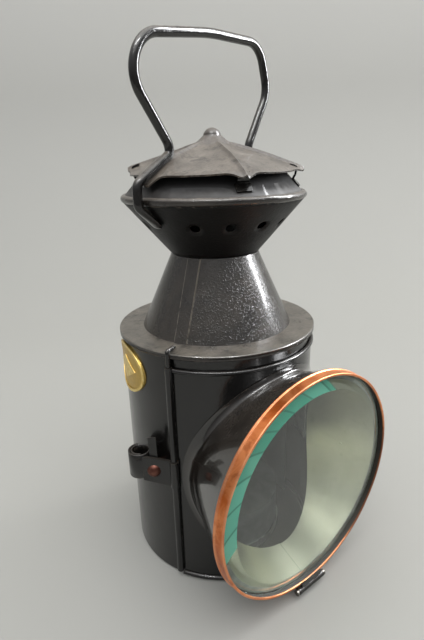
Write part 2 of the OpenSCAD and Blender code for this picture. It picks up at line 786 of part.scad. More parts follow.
module oil_font() {
    burner_hole_r = 11;
    hole_h = 8;
    neck_wall = 1.2;
    color("#7d7f7c") difference() {
        union() {
            translate([0, 0, font_z0]) cylinder(h = font_h, r = font_r);
            translate([0, 0, font_z1])
                cylinder(h = font_top - font_z1, r1 = font_r, r2 = burner_r + 2);
            at_az(filler_az) translate([0, -filler_at, font_z1])
                cylinder(h = filler_top - font_z1, r = filler_neck_r, $fn = 48);
        }
        translate([0, 0, font_z0 + sheet]) cylinder(h = font_h - 2 * sheet, r = font_r - sheet);
        translate([0, 0, font_z1 - 2 * sheet]) cylinder(h = hole_h, r = burner_hole_r);
        at_az(filler_az) translate([0, -filler_at, font_z1 - 2 * sheet])
            cylinder(h = filler_top - font_z1 + hole_h, r = filler_neck_r - neck_wall, $fn = 48);
    }
}

module burner_body() {
    brim = 2;
    wall = 1.2;
    spigot_r = 10.8;
    spigot_h = 3;
    color("#8a6f3c") difference() {
        union() {
            translate([0, 0, font_top]) cylinder(h = brim, r = burner_r + brim);
            translate([0, 0, font_top]) cylinder(h = burner_z1 - font_top, r = burner_r);
            translate([0, 0, font_top - spigot_h]) cylinder(h = spigot_h, r = spigot_r);
        }
        translate([0, 0, font_top + brim]) cylinder(h = burner_z1, r = burner_r - wall);
        translate([-tube_w / 2, -tube_t / 2, font_top - spigot_h - slop])
            cube([tube_w, tube_t, 2 * spigot_h + 2 * slop]);
        translate([-burner_r - slop, spindle_y, spindle_z]) rotate([0, 90, 0])
            cylinder(h = 2 * burner_r + 2 * slop, r = spindle_r + fit_gap, $fn = 32);
    }
}

module burner_cap() {
    top_r = 10.4;
    wall = 0.6;
    holes = 12;
    hole_r = 1;
    color("#8a6f3c") translate([0, 0, burner_z1]) difference() {
        cylinder(h = cap_h, r1 = burner_r, r2 = top_r);
        translate([0, 0, -slop]) cylinder(h = cap_h, r1 = burner_r - wall, r2 = top_r - slop);
        translate([-tube_w / 2, -tube_t / 2, 0]) cube([tube_w, tube_t, cap_h + slop]);
        for (i = [0 : holes - 1]) rotate([0, 0, 360 / holes * (i + 0.5)])
            translate([burner_r / 2, 0, 2 * hole_r]) rotate([0, 90, 0])
                cylinder(h = burner_r, r = hole_r, $fn = 16);
    }
}

module wick_tube() {
    wall = 0.7;
    slot_w = 2.8;
    slot_ease = 0.4;
    foot = font_top - 3;
    top = burner_z1 + cap_h + 2;
    tall = top - foot;
    color("#8a6f3c") difference() {
        translate([-tube_w / 2, -tube_t / 2, foot]) cube([tube_w, tube_t, tall]);
        translate([-tube_w / 2 + wall, -tube_t / 2 + wall, foot - slop])
            cube([tube_w - 2 * wall, tube_t - 2 * wall, tall + 2 * slop]);
        for (x = [-wheel_x, wheel_x])
            translate([x - slot_w / 2, 0, spindle_z - wheel_r - slot_ease])
                cube([slot_w, tube_t, 2 * (wheel_r + slot_ease)]);
    }
}

module filler_cap() {
    knurls = 12;
    knurl_r = 0.8;
    top_t = 2;
    cap_r = filler_neck_r + 1.6;
    base_z = font_top + 0.2;
    color("#8a6f3c") at_az(filler_az) translate([0, -filler_at, base_z]) difference() {
        cylinder(h = filler_top - base_z + top_t, r = cap_r, $fn = 48);
        translate([0, 0, -slop])
            cylinder(h = filler_top - base_z + slop + fit_gap, r = filler_neck_r + fit_gap, $fn = 48);
        for (i = [0 : knurls - 1]) rotate([0, 0, 360 * i / knurls])
            translate([cap_r + knurl_r / 2, 0, -slop])
                cylinder(h = filler_neck_r + slop, r = knurl_r, $fn = 16);
    }
}

module wick() {
    foot = font_z0 + 8;
    top = burner_z1 + cap_h + 3;
    color("#d9d2bf") translate([-wick_w / 2, -wick_t / 2, foot])
        cube([wick_w, wick_t, top - foot]);
}

module wick_spindle() {
    tail = burner_r + 1;
    color("#8a6f3c") translate([-tail, spindle_y, spindle_z]) rotate([0, 90, 0])
        cylinder(h = tail + spindle_end, r = spindle_r, $fn = 48);
}

// Toothed wheels that grip the wick
module wick_wheels() {
    thick = 2;
    teeth = 12;
    notch_r = 0.6;
    color("#8a6f3c") for (x = [-wheel_x, wheel_x])
        translate([x - thick / 2, spindle_y, spindle_z]) rotate([0, 90, 0]) difference() {
            cylinder(h = thick, r = wheel_r, $fn = 48);
            translate([0, 0, -slop]) cylinder(h = thick + 2 * slop, r = spindle_r, $fn = 48);
            for (i = [0 : teeth - 1]) rotate([0, 0, 360 * i / teeth])
                translate([wheel_r + notch_r / 2, 0, -slop])
                    cylinder(h = thick + 2 * slop, r = notch_r, $fn = 16);
        }
}

module wick_knob() {
    thick = 3;
    knob_r = 7;
    knurls = 18;
    notch_r = 0.8;
    notch_out = 0.3;
    color("#8a6f3c") translate([spindle_end - thick, spindle_y, spindle_z]) rotate([0, 90, 0])
        difference() {
            cylinder(h = thick, r = knob_r, $fn = 64);
            translate([0, 0, -slop]) cylinder(h = thick + 2 * slop, r = spindle_r, $fn = 48);
            for (i = [0 : knurls - 1]) rotate([0, 0, 360 * i / knurls])
                translate([knob_r + notch_out, 0, -slop])
                    cylinder(h = thick + 2 * slop, r = notch_r, $fn = 16);
        }
}

base_pan();
rear_shell();
hood_collar();
hood_flange();
chimney_cone();
vent_bowl();
bowl_rim_bead();
bowl_top();
inner_chimney();
crown();
crown_struts();
crown_finial();
handle();
hinge_pin();
socket_bracket();
socket_tube();
socket_spring();
bracket_rivet();
oval_plate();
catch_tongue();
rear_reflector();
font_ring();
door_shell();
reflector_hood();
reflector_cone();
glass_seat();
door_thumb_tab();
hood_hinge_leaf();
bezel_hinge_pin();
bezel();
glass();
glass_packing();
bezel_hinge_leaf();
oil_font();
burner_body();
burner_cap();
wick_tube();
filler_cap();
wick();
wick_spindle();
wick_wheels();
wick_knob();
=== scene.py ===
from math import asin, atan, atan2, cos, exp, hypot, pi, radians, sin, tan

import bmesh
import bpy
from mathutils import Matrix, Vector, noise


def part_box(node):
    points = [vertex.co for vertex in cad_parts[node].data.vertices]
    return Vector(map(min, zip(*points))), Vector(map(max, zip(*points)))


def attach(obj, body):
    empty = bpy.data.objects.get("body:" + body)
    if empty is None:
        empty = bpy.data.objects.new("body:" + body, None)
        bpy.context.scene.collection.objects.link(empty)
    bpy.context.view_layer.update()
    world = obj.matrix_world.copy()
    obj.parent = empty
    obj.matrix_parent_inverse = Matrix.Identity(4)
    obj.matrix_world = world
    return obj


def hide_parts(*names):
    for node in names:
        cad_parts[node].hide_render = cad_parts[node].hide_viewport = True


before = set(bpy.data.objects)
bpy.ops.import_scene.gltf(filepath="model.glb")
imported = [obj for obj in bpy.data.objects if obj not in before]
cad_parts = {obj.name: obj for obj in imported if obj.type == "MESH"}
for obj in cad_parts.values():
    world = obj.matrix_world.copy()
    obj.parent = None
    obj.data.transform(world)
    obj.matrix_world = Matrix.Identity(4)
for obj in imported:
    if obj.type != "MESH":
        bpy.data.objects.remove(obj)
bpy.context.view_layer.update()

MM = 0.001
TURN = 2 * pi


# ---------------- sizes, read from the frame

def glass_part(node):
    """Largest radius about the glass axis, back and front of a node that turns about it."""
    low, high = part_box(node)
    return (high.z - low.z) / 2, -high.y, -low.y


bezel_r, bezel_back, bezel_front = glass_part("bezel")
glass_r, glass_back, glass_front = glass_part("glass")
hood_r, _, hood_front = glass_part("reflector_hood")
liner_r, _, liner_front = glass_part("reflector_cone")
LENS_Z = (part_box("bezel")[0].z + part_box("bezel")[1].z) / 2
CASE_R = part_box("rear_shell")[1].y
SHEET = 0.8 * MM
LINING = 0.6 * MM                      # thinner sheet of the hood and its silvered liner
FLARE = 0.4                            # how much the reflector widens for each metre forward
BEVEL = 8.5 * MM
BEVEL_DROP = 2.5 * MM
LIP_R = bezel_r - 1.5 * MM
LIP_FALL = 0.25 * MM
CORNERS = 6
SECTOR = TURN / CORNERS
CROWN_AZ = radians(-80)                # the handle's corner of the crown
LAP_AZ = radians(-64.5)                # lap seam of the chimney cone
LINER_SEAM = radians(183)


# ---------------- mesh helpers

def clamp(value):
    return max(0.0, min(1.0, value))


def smooth(t):
    """Eases from 0 to 1 with flat ends."""
    return t * t * (3 - 2 * t)


def curve(a, b, c, t):
    """A point on the bend from a to c that is drawn towards b."""
    return a * (1 - t) ** 2 + b * 2 * t * (1 - t) + c * t ** 2


def put(name, data):
    """A new object in the scene."""
    thing = bpy.data.objects.new(name, data)
    bpy.context.scene.collection.objects.link(thing)
    return thing


def around_z(radius, azimuth, height):
    return Vector((radius * sin(azimuth), -radius * cos(azimuth), height))


def around_glass(radius, angle, forward):
    """A point about the glass axis: the angle is counted from the top towards +X."""
    return Vector((radius * sin(angle), -forward, LENS_Z + radius * cos(angle)))


def grid(rows, columns, wrap_rows=False, wrap_columns=False, start=0):
    """Faces of a grid of points numbered row by row."""
    faces = []
    for i in range(rows if wrap_rows else rows - 1):
        for j in range(columns if wrap_columns else columns - 1):
            k, m = (i + 1) % rows, (j + 1) % columns
            faces.append([start + i * columns + j, start + i * columns + m,
                          start + k * columns + m, start + k * columns + j])
    return faces


def rounded(outline, radii, steps=4):
    """A closed outline with each corner cut to an arc-like curve of the given size."""
    result = []
    count = len(outline)
    for i, corner in enumerate(outline):
        radius = radii[i] if isinstance(radii, (list, tuple)) else radii
        here = Vector(corner)
        before = (Vector(outline[i - 1]) - here)
        after = (Vector(outline[(i + 1) % count]) - here)
        reach = min(radius, before.length / 2.05, after.length / 2.05)
        if reach <= 0:
            result.append(here)
            continue
        first = here + before.normalized() * reach
        last = here + after.normalized() * reach
        for j in range(steps + 1):
            t = j / steps
            result.append(curve(first, here, last, t))
    return result


def make_piece(name, points, faces, finish, part, body="case", sharp=50, merge=None):
    """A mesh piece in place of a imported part, smooth but for edges sharper than an angle."""
    mesh = bpy.data.meshes.new(name)
    mesh.from_pydata([tuple(p) for p in points], [], faces)
    tidy = bmesh.new()
    tidy.from_mesh(mesh)
    if merge:
        bmesh.ops.remove_doubles(tidy, verts=tidy.verts, dist=merge)
    bmesh.ops.recalc_face_normals(tidy, faces=tidy.faces)
    tidy.to_mesh(mesh)
    tidy.free()
    mesh.shade_smooth()
    mesh.set_sharp_from_angle(angle=radians(sharp))
    mesh.materials.append(finish)
    piece = put(name, mesh)
    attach(piece, body)
    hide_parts(part)
    return piece


def lathe(outline, steps, place, shape=None):
    """Points and faces of a closed outline of (radius, height) turned through a full circle."""
    points = []
    for i in range(steps):
        angle = TURN * i / steps
        for radius, height in outline:
            if shape:
                radius, height = shape(radius, angle, height)
            points.append(place(radius, angle, height))
    return points, grid(steps, len(outline), True, True)


def dome(outline, steps, place):
    """Points and faces of an open outline whose two ends lie on the axis."""
    inner = outline[1:-1]
    points, _ = lathe(inner, steps, place)
    faces = grid(steps, len(inner), True, False)
    first, last = len(points), len(points) + 1
    points += [place(0, 0, outline[0][1]), place(0, 0, outline[-1][1])]
    row = len(inner)
    for i in range(steps):
        k = (i + 1) % steps
        faces.append([first, k * row, i * row])
        faces.append([last, i * row + row - 1, k * row + row - 1])
    return points, faces


def bend_corners(corners, bends, steps=10):
    """A path through corners, each rounded with its own bend radius."""
    path = [Vector(corners[0])]
    for before, here, after, bend in zip(corners, corners[1:], corners[2:], bends):
        here = Vector(here)
        into = (Vector(before) - here).normalized()
        out = (Vector(after) - here).normalized()
        half = into.angle(out) / 2
        centre = here + (into + out).normalized() * bend / sin(half)
        start = here + into * bend / tan(half) - centre
        end = here + out * bend / tan(half) - centre
        sweep_angle = start.angle(end)
        for j in range(steps + 1):
            t = j / steps
            path.append(centre + (start * sin((1 - t) * sweep_angle)
                                  + end * sin(t * sweep_angle)) / sin(sweep_angle))
    path.append(Vector(corners[-1]))
    return path


def resample(path, step):
    """The same path with points a set distance apart."""
    result = [path[0]]
    for a, b in zip(path, path[1:]):
        parts = max(1, round((b - a).length / step))
        result += [a.lerp(b, (k + 1) / parts) for k in range(parts)]
    return result


def wire(path, radius, sides, side_dir, shape):
    """Points and faces of a round wire along a path, with rounded ends. The shape gives, for a share of
    the path's length, how far the section is widened sideways and squeezed across."""
    frames = []
    normal = side_dir.copy()
    for i, here in enumerate(path):
        ahead = (path[min(i + 1, len(path) - 1)] - path[max(i - 1, 0)]).normalized()
        normal = (normal - ahead * normal.dot(ahead)).normalized()
        frames.append((here, ahead, normal, ahead.cross(normal)))
    rings = []
    cap_steps = 4
    here, ahead, u, v = frames[0]
    for j in range(1, cap_steps):
        t = pi / 2 * j / cap_steps
        rings.append((here - ahead * radius * cos(t), u, v, radius * sin(t), 0.0))
    for i, (here, ahead, u, v) in enumerate(frames):
        rings.append((here, u, v, radius, i / (len(frames) - 1)))
    here, ahead, u, v = frames[-1]
    for j in range(cap_steps - 1, 0, -1):
        t = pi / 2 * j / cap_steps
        rings.append((here + ahead * radius * cos(t), u, v, radius * sin(t), 1.0))
    points = []
    for centre, u, v, size, share in rings:
        wide, thin = shape(share)
        for k in range(sides):
            a = TURN * k / sides
            points.append(centre + u * size * wide * cos(a) + v * size * thin * sin(a))
    faces = grid(len(rings), sides, False, True)
    faces.append(list(range(sides)))
    faces.append([len(points) - sides + k for k in range(sides)][::-1])
    return points, faces


def ripple(point, scale, seed=0.0):
    """Smooth noise from -1 to 1 at a point, for dents that are some millimetres wide."""
    return noise.noise(point * scale + Vector((seed, seed * 1.7, seed * 0.3)))


# ---------------- finishes

def tone(code):
    """A colour written as RRGGBB, as linear light."""
    parts = [int(code[i:i + 2], 16) / 255 for i in (0, 2, 4)]
    return tuple(c / 12.92 if c <= 0.04045 else ((c + 0.055) / 1.055) ** 2.4 for c in parts) + (1,)


class Finish:
    """One procedural material while it is put together."""

    def __init__(self, name):
        self.material = bpy.data.materials.new(name)
        self.material.use_nodes = True
        self.nodes = self.material.node_tree.nodes
        self.links = self.material.node_tree.links
        self.surface = self.nodes["Principled BSDF"]
        self.output = self.nodes["Material Output"]
        self.place = self.add("ShaderNodeTexCoord").outputs["Object"]
        self.normal = None

    def add(self, kind, inputs=None, **settings):
        node = self.nodes.new(kind)
        for key, value in settings.items():
            setattr(node, key, value)
        for key, value in (inputs or {}).items():
            self.feed(node.inputs[key], value)
        return node

    def feed(self, socket, value):
        if isinstance(value, bpy.types.NodeSocket):
            self.links.new(value, socket)
        else:
            socket.default_value = value

    def set(self, **inputs):
        names = {"color": "Base Color", "rough": "Roughness", "metal": "Metallic", "coat": "Coat Weight",
                 "coat_rough": "Coat Roughness", "specular": "Specular IOR Level", "ior": "IOR",
                 "through": "Transmission Weight", "sheen": "Sheen Weight", "alpha": "Alpha"}
        for key, value in inputs.items():
            self.feed(self.surface.inputs[names[key]], value)

    def noise(self, size, detail=3, rough=0.55, stretch=(1, 1, 1), warp=0.0, place=None):
        """Noise from 0 to 1 whose features are about size metres wide."""
        spot = self.add("ShaderNodeMapping", {"Vector": place or self.place, "Scale": stretch}).outputs[0]
        return self.add("ShaderNodeTexNoise", {"Vector": spot, "Scale": 1 / size, "Detail": detail,
                                               "Roughness": rough, "Distortion": warp}).outputs["Fac"]

    def cells(self, size):
        return self.add("ShaderNodeTexVoronoi", {"Vector": self.place, "Scale": 1 / size}).outputs["Distance"]

    def step(self, value, low, high):
        """0 below low, 1 above high, smooth between."""
        if low > high:
            return self.calc("SUBTRACT", 1.0, self.step(value, high, low))
        return self.add("ShaderNodeMapRange", {"Value": value, "From Min": low, "From Max": high},
                        interpolation_type="SMOOTHSTEP").outputs["Result"]

    def span(self, value, low, high):
        """Maps 0..1 to low..high."""
        inputs = {"Value": value, "To Min": low, "To Max": high}
        return self.add("ShaderNodeMapRange", inputs).outputs["Result"]

    def calc(self, operation, a, b=0.0):
        node = self.add("ShaderNodeMath", operation=operation)
        self.feed(node.inputs[0], a)
        self.feed(node.inputs[1], b)
        return node.outputs[0]

    def times(self, a, b):
        return self.calc("MULTIPLY", a, b)

    def plus(self, a, b):
        return self.calc("ADD", a, b)

    def reach(self, a, b):
        """Length of two coordinates taken together."""
        return self.calc("POWER", self.plus(self.times(a, a), self.times(b, b)), 0.5)

    def tint(self, colour, mask, amount, code):
        """Lays a second colour over the first where the mask is set, by at most the amount."""
        return self.mix(self.times(mask, amount), colour, tone(code))

    def cover(self, factor, under, over):
        """One shader over another."""
        node = self.add("ShaderNodeMixShader")
        for socket, value in zip(node.inputs, (factor, under, over)):
            self.feed(socket, value)
        return node.outputs[0]

    def mix(self, factor, a, b):
        node = self.add("ShaderNodeMix", data_type="RGBA")
        self.feed(node.inputs["Factor"], factor)
        self.feed(node.inputs[6], a)
        self.feed(node.inputs[7], b)
        return node.outputs[2]

    def bump(self, height, depth):
        """Raises the surface by height times depth metres."""
        inputs = {"Height": height, "Strength": 1.0, "Distance": depth}
        if self.normal:
            inputs["Normal"] = self.normal
        self.normal = self.add("ShaderNodeBump", inputs).outputs["Normal"]
        self.feed(self.surface.inputs["Normal"], self.normal)

    def edges(self, radius, low=0.995, high=0.9):
        """1 along edges sharper than the radius, 0 on open surfaces."""
        soft = self.add("ShaderNodeBevel", {"Radius": radius}, samples=4).outputs[0]
        true = self.add("ShaderNodeNewGeometry").outputs["True Normal"]
        same = self.add("ShaderNodeVectorMath", operation="DOT_PRODUCT")
        self.feed(same.inputs[0], soft)
        self.feed(same.inputs[1], true)
        return self.step(same.outputs["Value"], low, high)

    def upward(self, low=0.2, high=0.9):
        """1 on surfaces that face up, where dirt lies and where sheen from the light above is painted."""
        axis = self.add("ShaderNodeSeparateXYZ")
        self.feed(axis.inputs[0], self.add("ShaderNodeNewGeometry").outputs["Normal"])
        return self.step(axis.outputs["Z"], low, high)

    def axes(self):
        node = self.add("ShaderNodeSeparateXYZ", {"Vector": self.place})
        return node.outputs["X"], node.outputs["Y"], node.outputs["Z"]

    def glass_angle(self):
        """Angle about the glass axis from the top, -pi to pi, and the distance from it."""
        x, _, z = self.axes()
        up = self.calc("SUBTRACT", z, LENS_Z)
        angle = self.calc("ARCTAN2", x, up)
        return angle, self.reach(x, up)


def japan(name, low="0d0c0b", high="1b1917", dust_and_sheen_film="5d554c", dust_and_sheen=0.3, rough=(0.12, 0.28), grain=0.012,
          speckle=0.02, waves=1.0, worn=0.25, crown_shadow=None, coat=0.2, specular=0.5, lap=None):
    """Stoved black enamel over tinplate: deep gloss, slightly wavy, dusty and lightened with painted sheen
    where it faces up, with an optional painted shadow under the crown.
    """
    f = Finish(name)
    mottle = f.noise(24 * MM, 5, 0.6, warp=0.6)
    colour = f.mix(f.step(mottle, 0.3, 0.7), tone(low), tone(high))
    # Up-facing faces are lightened: partly dirt, partly painted sheen from the light above.
    dust_and_sheen_spread = f.times(f.span(f.noise(13 * MM, 5, 0.6), 0.0, 1.6),
                     f.span(f.noise(1.6 * MM, 4, 0.7), 0.2, 1.6))
    dust_and_sheen_mask = f.times(f.upward(), dust_and_sheen_spread)
    colour = f.tint(colour, dust_and_sheen_mask, dust_and_sheen, dust_and_sheen_film)
    marks = f.times(f.upward(), f.step(f.noise(8 * MM, 6, 0.72, warp=0.4), 0.5, 0.7))
    colour = f.tint(colour, marks, 0.7, low)
    rubbed = f.times(f.edges(0.5 * MM), f.step(f.noise(4 * MM, 4), 0.5, 0.66))
    colour = f.tint(colour, rubbed, worn, "857a6c")
    chips = f.step(f.noise(2.4 * MM, 5, 0.7), 0.72, 0.77)
    colour = f.tint(colour, chips, 0.45, "5a4c3e")
    haze = f.noise(14 * MM, 5, 0.6)
    smear = f.noise(2 * MM, 3, stretch=(1, 1, 0.12))
    gloss = f.plus(f.span(haze, rough[0], rough[1]), f.span(smear, -0.03, 0.05))
    gloss = f.plus(gloss, f.times(dust_and_sheen_mask, 0.2))
    if crown_shadow:
        # Painted shadow: the inner part of the bowl's top, under the crown's overhang, is turned near black
        # and rough.
        x, y, _ = f.axes()
        out = f.reach(x, y)
        black = f.step(f.plus(out, f.span(f.noise(6 * MM, 3), -1.5 * MM, 1.5 * MM)), *crown_shadow)
        colour = f.mix(black, colour, tone("070606"))
        gloss = f.plus(gloss, f.times(black, 0.45))
    if lap:
        x, y, _ = f.axes()
        azimuth, half = lap
        across = f.plus(f.times(x, cos(azimuth)), f.times(y, sin(azimuth)))
        ahead = f.calc("SUBTRACT", f.times(x, sin(azimuth)), f.times(y, cos(azimuth)))
        from_edge = f.calc("ABSOLUTE", f.calc("SUBTRACT", f.calc("ABSOLUTE", across), half))
        # Painted highlight: a pale line, broken by noise, along the lap seam's edges where they catch the
        # light.
        line = f.times(f.step(from_edge, 0.5 * MM, 0.1 * MM), f.step(ahead, 0.0, 1 * MM))
        line = f.times(line, f.step(f.noise(5 * MM, 4), 0.3, 0.55))
        colour = f.tint(colour, line, 0.6, "978e80")
        f.bump(line, 0.2 * MM)
    f.set(color=colour, rough=gloss, specular=specular, coat=coat, coat_rough=0.06)
    f.bump(f.noise(34 * MM, 2), 0.5 * MM * waves)
    f.bump(f.noise(6 * MM, 3), 0.035 * MM * waves)
    f.bump(f.noise(1.3 * MM, 3), grain * MM)
    f.bump(f.step(f.noise(1.1 * MM, 2, 0.6), 0.5, 0.66), speckle * MM)
    return f.material


def copper_finish():
    """Rolled copper with a painted highlight along its edges and painted shade over its lower right, darkened
    in pits.
    """
    f = Finish("copper_bezel")
    angle, _ = f.glass_angle()
    cloud = f.noise(16 * MM, 5, 0.65, warp=0.8)
    colour = f.mix(f.step(cloud, 0.3, 0.7), tone("c0602a"), tone("e8945e"))
    colour = f.tint(colour, f.step(f.noise(5 * MM, 4), 0.55, 0.72), 0.55, "9b4a26")
    # Painted highlight along the bezel's edges.
    edge_highlight = f.times(f.edges(1.6 * MM, 0.999, 0.93), f.noise(6 * MM, 3))
    colour = f.tint(colour, edge_highlight, 0.8, "f3c0a0")
    # Painted shade over the lower right of the ring.
    painted_shade_low_right = f.times(f.step(angle, 1.15, 1.6), f.step(angle, 2.75, 2.5))
    colour = f.tint(colour, painted_shade_low_right, 0.72, "4a2c20")
    pits = f.step(f.noise(1.3 * MM, 4, 0.7), 0.66, 0.72)
    colour = f.tint(colour, pits, 0.85, "3b1d12")
    rough = f.plus(f.span(cloud, 0.26, 0.46), f.times(pits, 0.3))
    f.set(color=colour, metal=1.0, rough=rough)
    f.bump(f.noise(11 * MM, 3), 0.12 * MM)
    f.bump(f.noise(0.7 * MM, 2), 0.01 * MM)
    f.bump(f.times(pits, -1.0), 0.05 * MM)
    return f.material


def brass_plate_finish():
    """Polished brass with tarnish left in its stippled ground."""
    f = Finish("brass_plate")
    x, y, _ = f.axes()
    out = f.reach(x, y)
    raised = f.step(out, CASE_R + 0.9 * MM, CASE_R + 1.2 * MM)
    tarnish = f.noise(2.5 * MM, 5, 0.65)
    ground = f.mix(tarnish, tone("a88a48"), tone("dab967"))
    top = f.mix(f.step(tarnish, 0.35, 0.7), tone("ecd590"), tone("d8b765"))
    f.set(color=f.mix(raised, ground, top), metal=1.0, rough=f.span(tarnish, 0.26, 0.5))
    stipple = f.times(f.cells(0.8 * MM), f.calc("SUBTRACT", 1.0, raised))
    f.bump(stipple, 0.15 * MM)
    f.bump(f.noise(4 * MM, 3), 0.05 * MM)
    return f.material


def metal_finish(name, low, high, rough=(0.25, 0.45), grain=(1, 1, 1), stain=None, dents=0.05):
    """Worked sheet metal: cloudy colour, fine grain, optional stains."""
    f = Finish(name)
    cloud = f.noise(9 * MM, 5, 0.6, warp=0.5)
    colour = f.mix(f.step(cloud, 0.3, 0.7), tone(low), tone(high))
    if stain:
        spots = f.step(f.noise(4 * MM, 5, 0.7), 0.6, 0.72)
        colour = f.tint(colour, spots, 0.7, stain)
    scratch = f.noise(1.2 * MM, 3, stretch=grain)
    f.set(color=colour, metal=1.0, rough=f.plus(f.span(cloud, *rough), f.span(scratch, -0.05, 0.05)))
    f.bump(f.noise(14 * MM, 3), dents * MM)
    f.bump(scratch, 0.01 * MM)
    return f.material


def silver_finish(name="silvered_cone", low="b5b49c", high="d6d5c2", dents=1.0):
    """Silvered reflector: bright, faintly yellow-green, burnished round its axis, with light dents and
    painted shade towards its bottom.
    """
    f = Finish(name)
    angle, away = f.glass_angle()
    cloud = f.noise(20 * MM, 4, 0.6, warp=0.7)
    colour = f.mix(f.span(cloud, 0.5 - 0.5 * dents, 0.5 + 0.5 * dents), tone(low), tone(high))
    stains = f.step(f.noise(7 * MM, 5, 0.65), 0.56, 0.75)
    colour = f.tint(colour, stains, 0.35 * dents, "98967c")
    # Painted shade: the lower part of the reflector is darkened.
    painted_shade_low = f.step(f.calc("ABSOLUTE", angle), 2.0, 2.9)
    colour = f.tint(colour, painted_shade_low, 0.8, "75756a")
    past_seam = f.times(f.calc("ABSOLUTE", f.calc("SUBTRACT", angle, LINER_SEAM - TURN)), away)
    colour = f.tint(colour, f.step(past_seam, 0.6 * MM, 0.2 * MM), 0.75 * dents, "3d3d34")
    rings = f.add("ShaderNodeCombineXYZ")
    f.feed(rings.inputs[0], f.times(away, 1.0))
    f.feed(rings.inputs[1], f.times(angle, 0.004))
    burnish = f.noise(0.8 * MM, 2, place=rings.outputs[0])
    spread = 0.08 * dents
    rough = f.plus(f.span(cloud, 0.32 - spread, 0.32 + spread), f.span(burnish, -0.04, 0.04))
    f.set(color=colour, metal=1.0, rough=rough)
    f.bump(f.noise(30 * MM, 1), 0.35 * MM * dents)
    f.bump(burnish, 0.004 * MM)
    return f.material


def clear_glass():
    """Old plate glass: clear, faintly green, lets light through to what is behind it."""
    f = Finish("plate_glass")
    smear = f.noise(18 * MM, 4, 0.6)
    f.set(color=tone("f4f8f4"), through=1.0, rough=f.span(f.step(smear, 0.45, 0.8), 0.0, 0.045), ior=1.5)
    f.bump(f.noise(40 * MM, 1), 0.05 * MM)
    pass_light(f, f.surface.outputs[0], "eef3ee")
    return f.material


def pass_light(f, seen, code):
    """Lets light of a colour fall straight through the glass, so that what is behind it is lit."""
    path = f.add("ShaderNodeLightPath")
    free = f.calc("MAXIMUM", path.outputs["Is Shadow Ray"], path.outputs["Is Diffuse Ray"])
    clear = f.add("ShaderNodeBsdfTransparent", {"Color": tone(code)}).outputs[0]
    f.links.new(f.cover(free, seen, clear), f.output.inputs["Surface"])


def bevel_glass():
    """The ground bevel: over the part turned to the light its thick edge is painted glowing sea green, in
    painted reflected fields with dark ticks, standing in for light refracted through it.
    """
    f = Finish("bevel_glass")
    angle, away = f.glass_angle()
    turns = f.calc("DIVIDE", angle, TURN)
    lean = f.times(f.calc("SUBTRACT", away, glass_r - BEVEL / 2), 3.0)
    skew = f.plus(turns, lean)
    lit_from, lit_to = (-0.282, -0.277), (0.03, 0.022)      # in turns from the top, with soft ends
    lit = f.times(f.step(skew, *lit_from), f.step(skew, *lit_to))
    fields = f.add("ShaderNodeTexWhiteNoise", noise_dimensions="1D")
    uneven = f.plus(skew, f.times(f.noise(60 * MM, 1), 0.05))
    panes = 27.0                       # reflected fields in a full turn
    cell = f.times(uneven, panes)
    f.feed(fields.inputs["W"], f.calc("FLOOR", cell))
    shade = f.mix(fields.outputs["Value"], tone("388c74"), tone("68b39c"))
    inside = f.calc("FRACT", cell)
    tick = f.times(f.step(inside, 0.0, 0.03), f.step(inside, 0.13, 0.1))
    shade = f.tint(shade, tick, 0.6, "27594c")
    f.set(color=tone("e8f3ec"), through=1.0, rough=0.02, ior=1.5)
    # Painted light: the sea-green bevel emits a little light of its own.
    painted_glow = f.add("ShaderNodeBsdfPrincipled", {"Base Color": shade, "Roughness": 0.1,
                                              "Specular IOR Level": 0.5, "Emission Color": shade,
                                              "Emission Strength": 0.12})
    pass_light(f, f.cover(f.times(lit, 0.93), f.surface.outputs[0], painted_glow.outputs[0]), "d6e9e0")
    return f.material


def packing_finish():
    """Dark oily putty."""
    f = Finish("putty")
    crumb = f.noise(1.6 * MM, 4, 0.7)
    f.set(color=f.mix(crumb, tone("17130f"), tone("3c342a")), rough=f.span(crumb, 0.45, 0.8))
    f.bump(crumb, 0.2 * MM)
    return f.material


def cotton_finish():
    """Flat woven wick, charred at its top."""
    f = Finish("wick_cotton")
    _, _, z = f.axes()

    def threads(scale, along):
        inputs = {"Vector": f.place, "Scale": scale, "Distortion": 1.5, "Detail Scale": 2.0}
        return f.add("ShaderNodeTexWave", inputs, bands_direction=along).outputs["Fac"]

    weave = f.times(threads(520.0, "Z"), threads(420.0, "X"))
    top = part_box("wick")[1].z
    ragged = f.plus(z, f.span(f.noise(3 * MM, 3), -1.5 * MM, 1.5 * MM))
    char = f.step(ragged, top - 5 * MM, top - 2 * MM)
    cloth = f.mix(weave, tone("a89c80"), tone("e4dcc6"))
    f.set(color=f.mix(char, cloth, tone("14110f")), rough=0.9, sheen=0.4)
    f.bump(weave, 0.25 * MM)
    return f.material


BLACK = japan("black_japan")
# Painted sheen: the wire's up-facing lightening is raised to stand for its highlights.
GLOSSY_BLACK = japan("black_japan_wire", dust_and_sheen_film="8c8276", dust_and_sheen=0.6, rough=(0.06, 0.2), speckle=0.03, waves=0.5)
HOOD_BLACK = japan("black_japan_hood", low="120f0d", high="26211d", dust_and_sheen=0.4, rough=(0.05, 0.2), coat=0.8)
STAY_BLACK = japan("black_japan_stays", dust_and_sheen=0.05, rough=(0.04, 0.16), waves=2.0)
DOOR_BLACK = japan("black_japan_door", low="070606", high="11100f", rough=(0.06, 0.22))
# Painted sheen: the cone's lighter base and up-facing lightening stand for the light it reflects.
CONE_BLACK = japan("black_japan_cone", low="1a1612", high="352f28", dust_and_sheen=0.55, rough=(0.1, 0.26), grain=0.08,
                   speckle=0.1, lap=(LAP_AZ, 4 * MM))
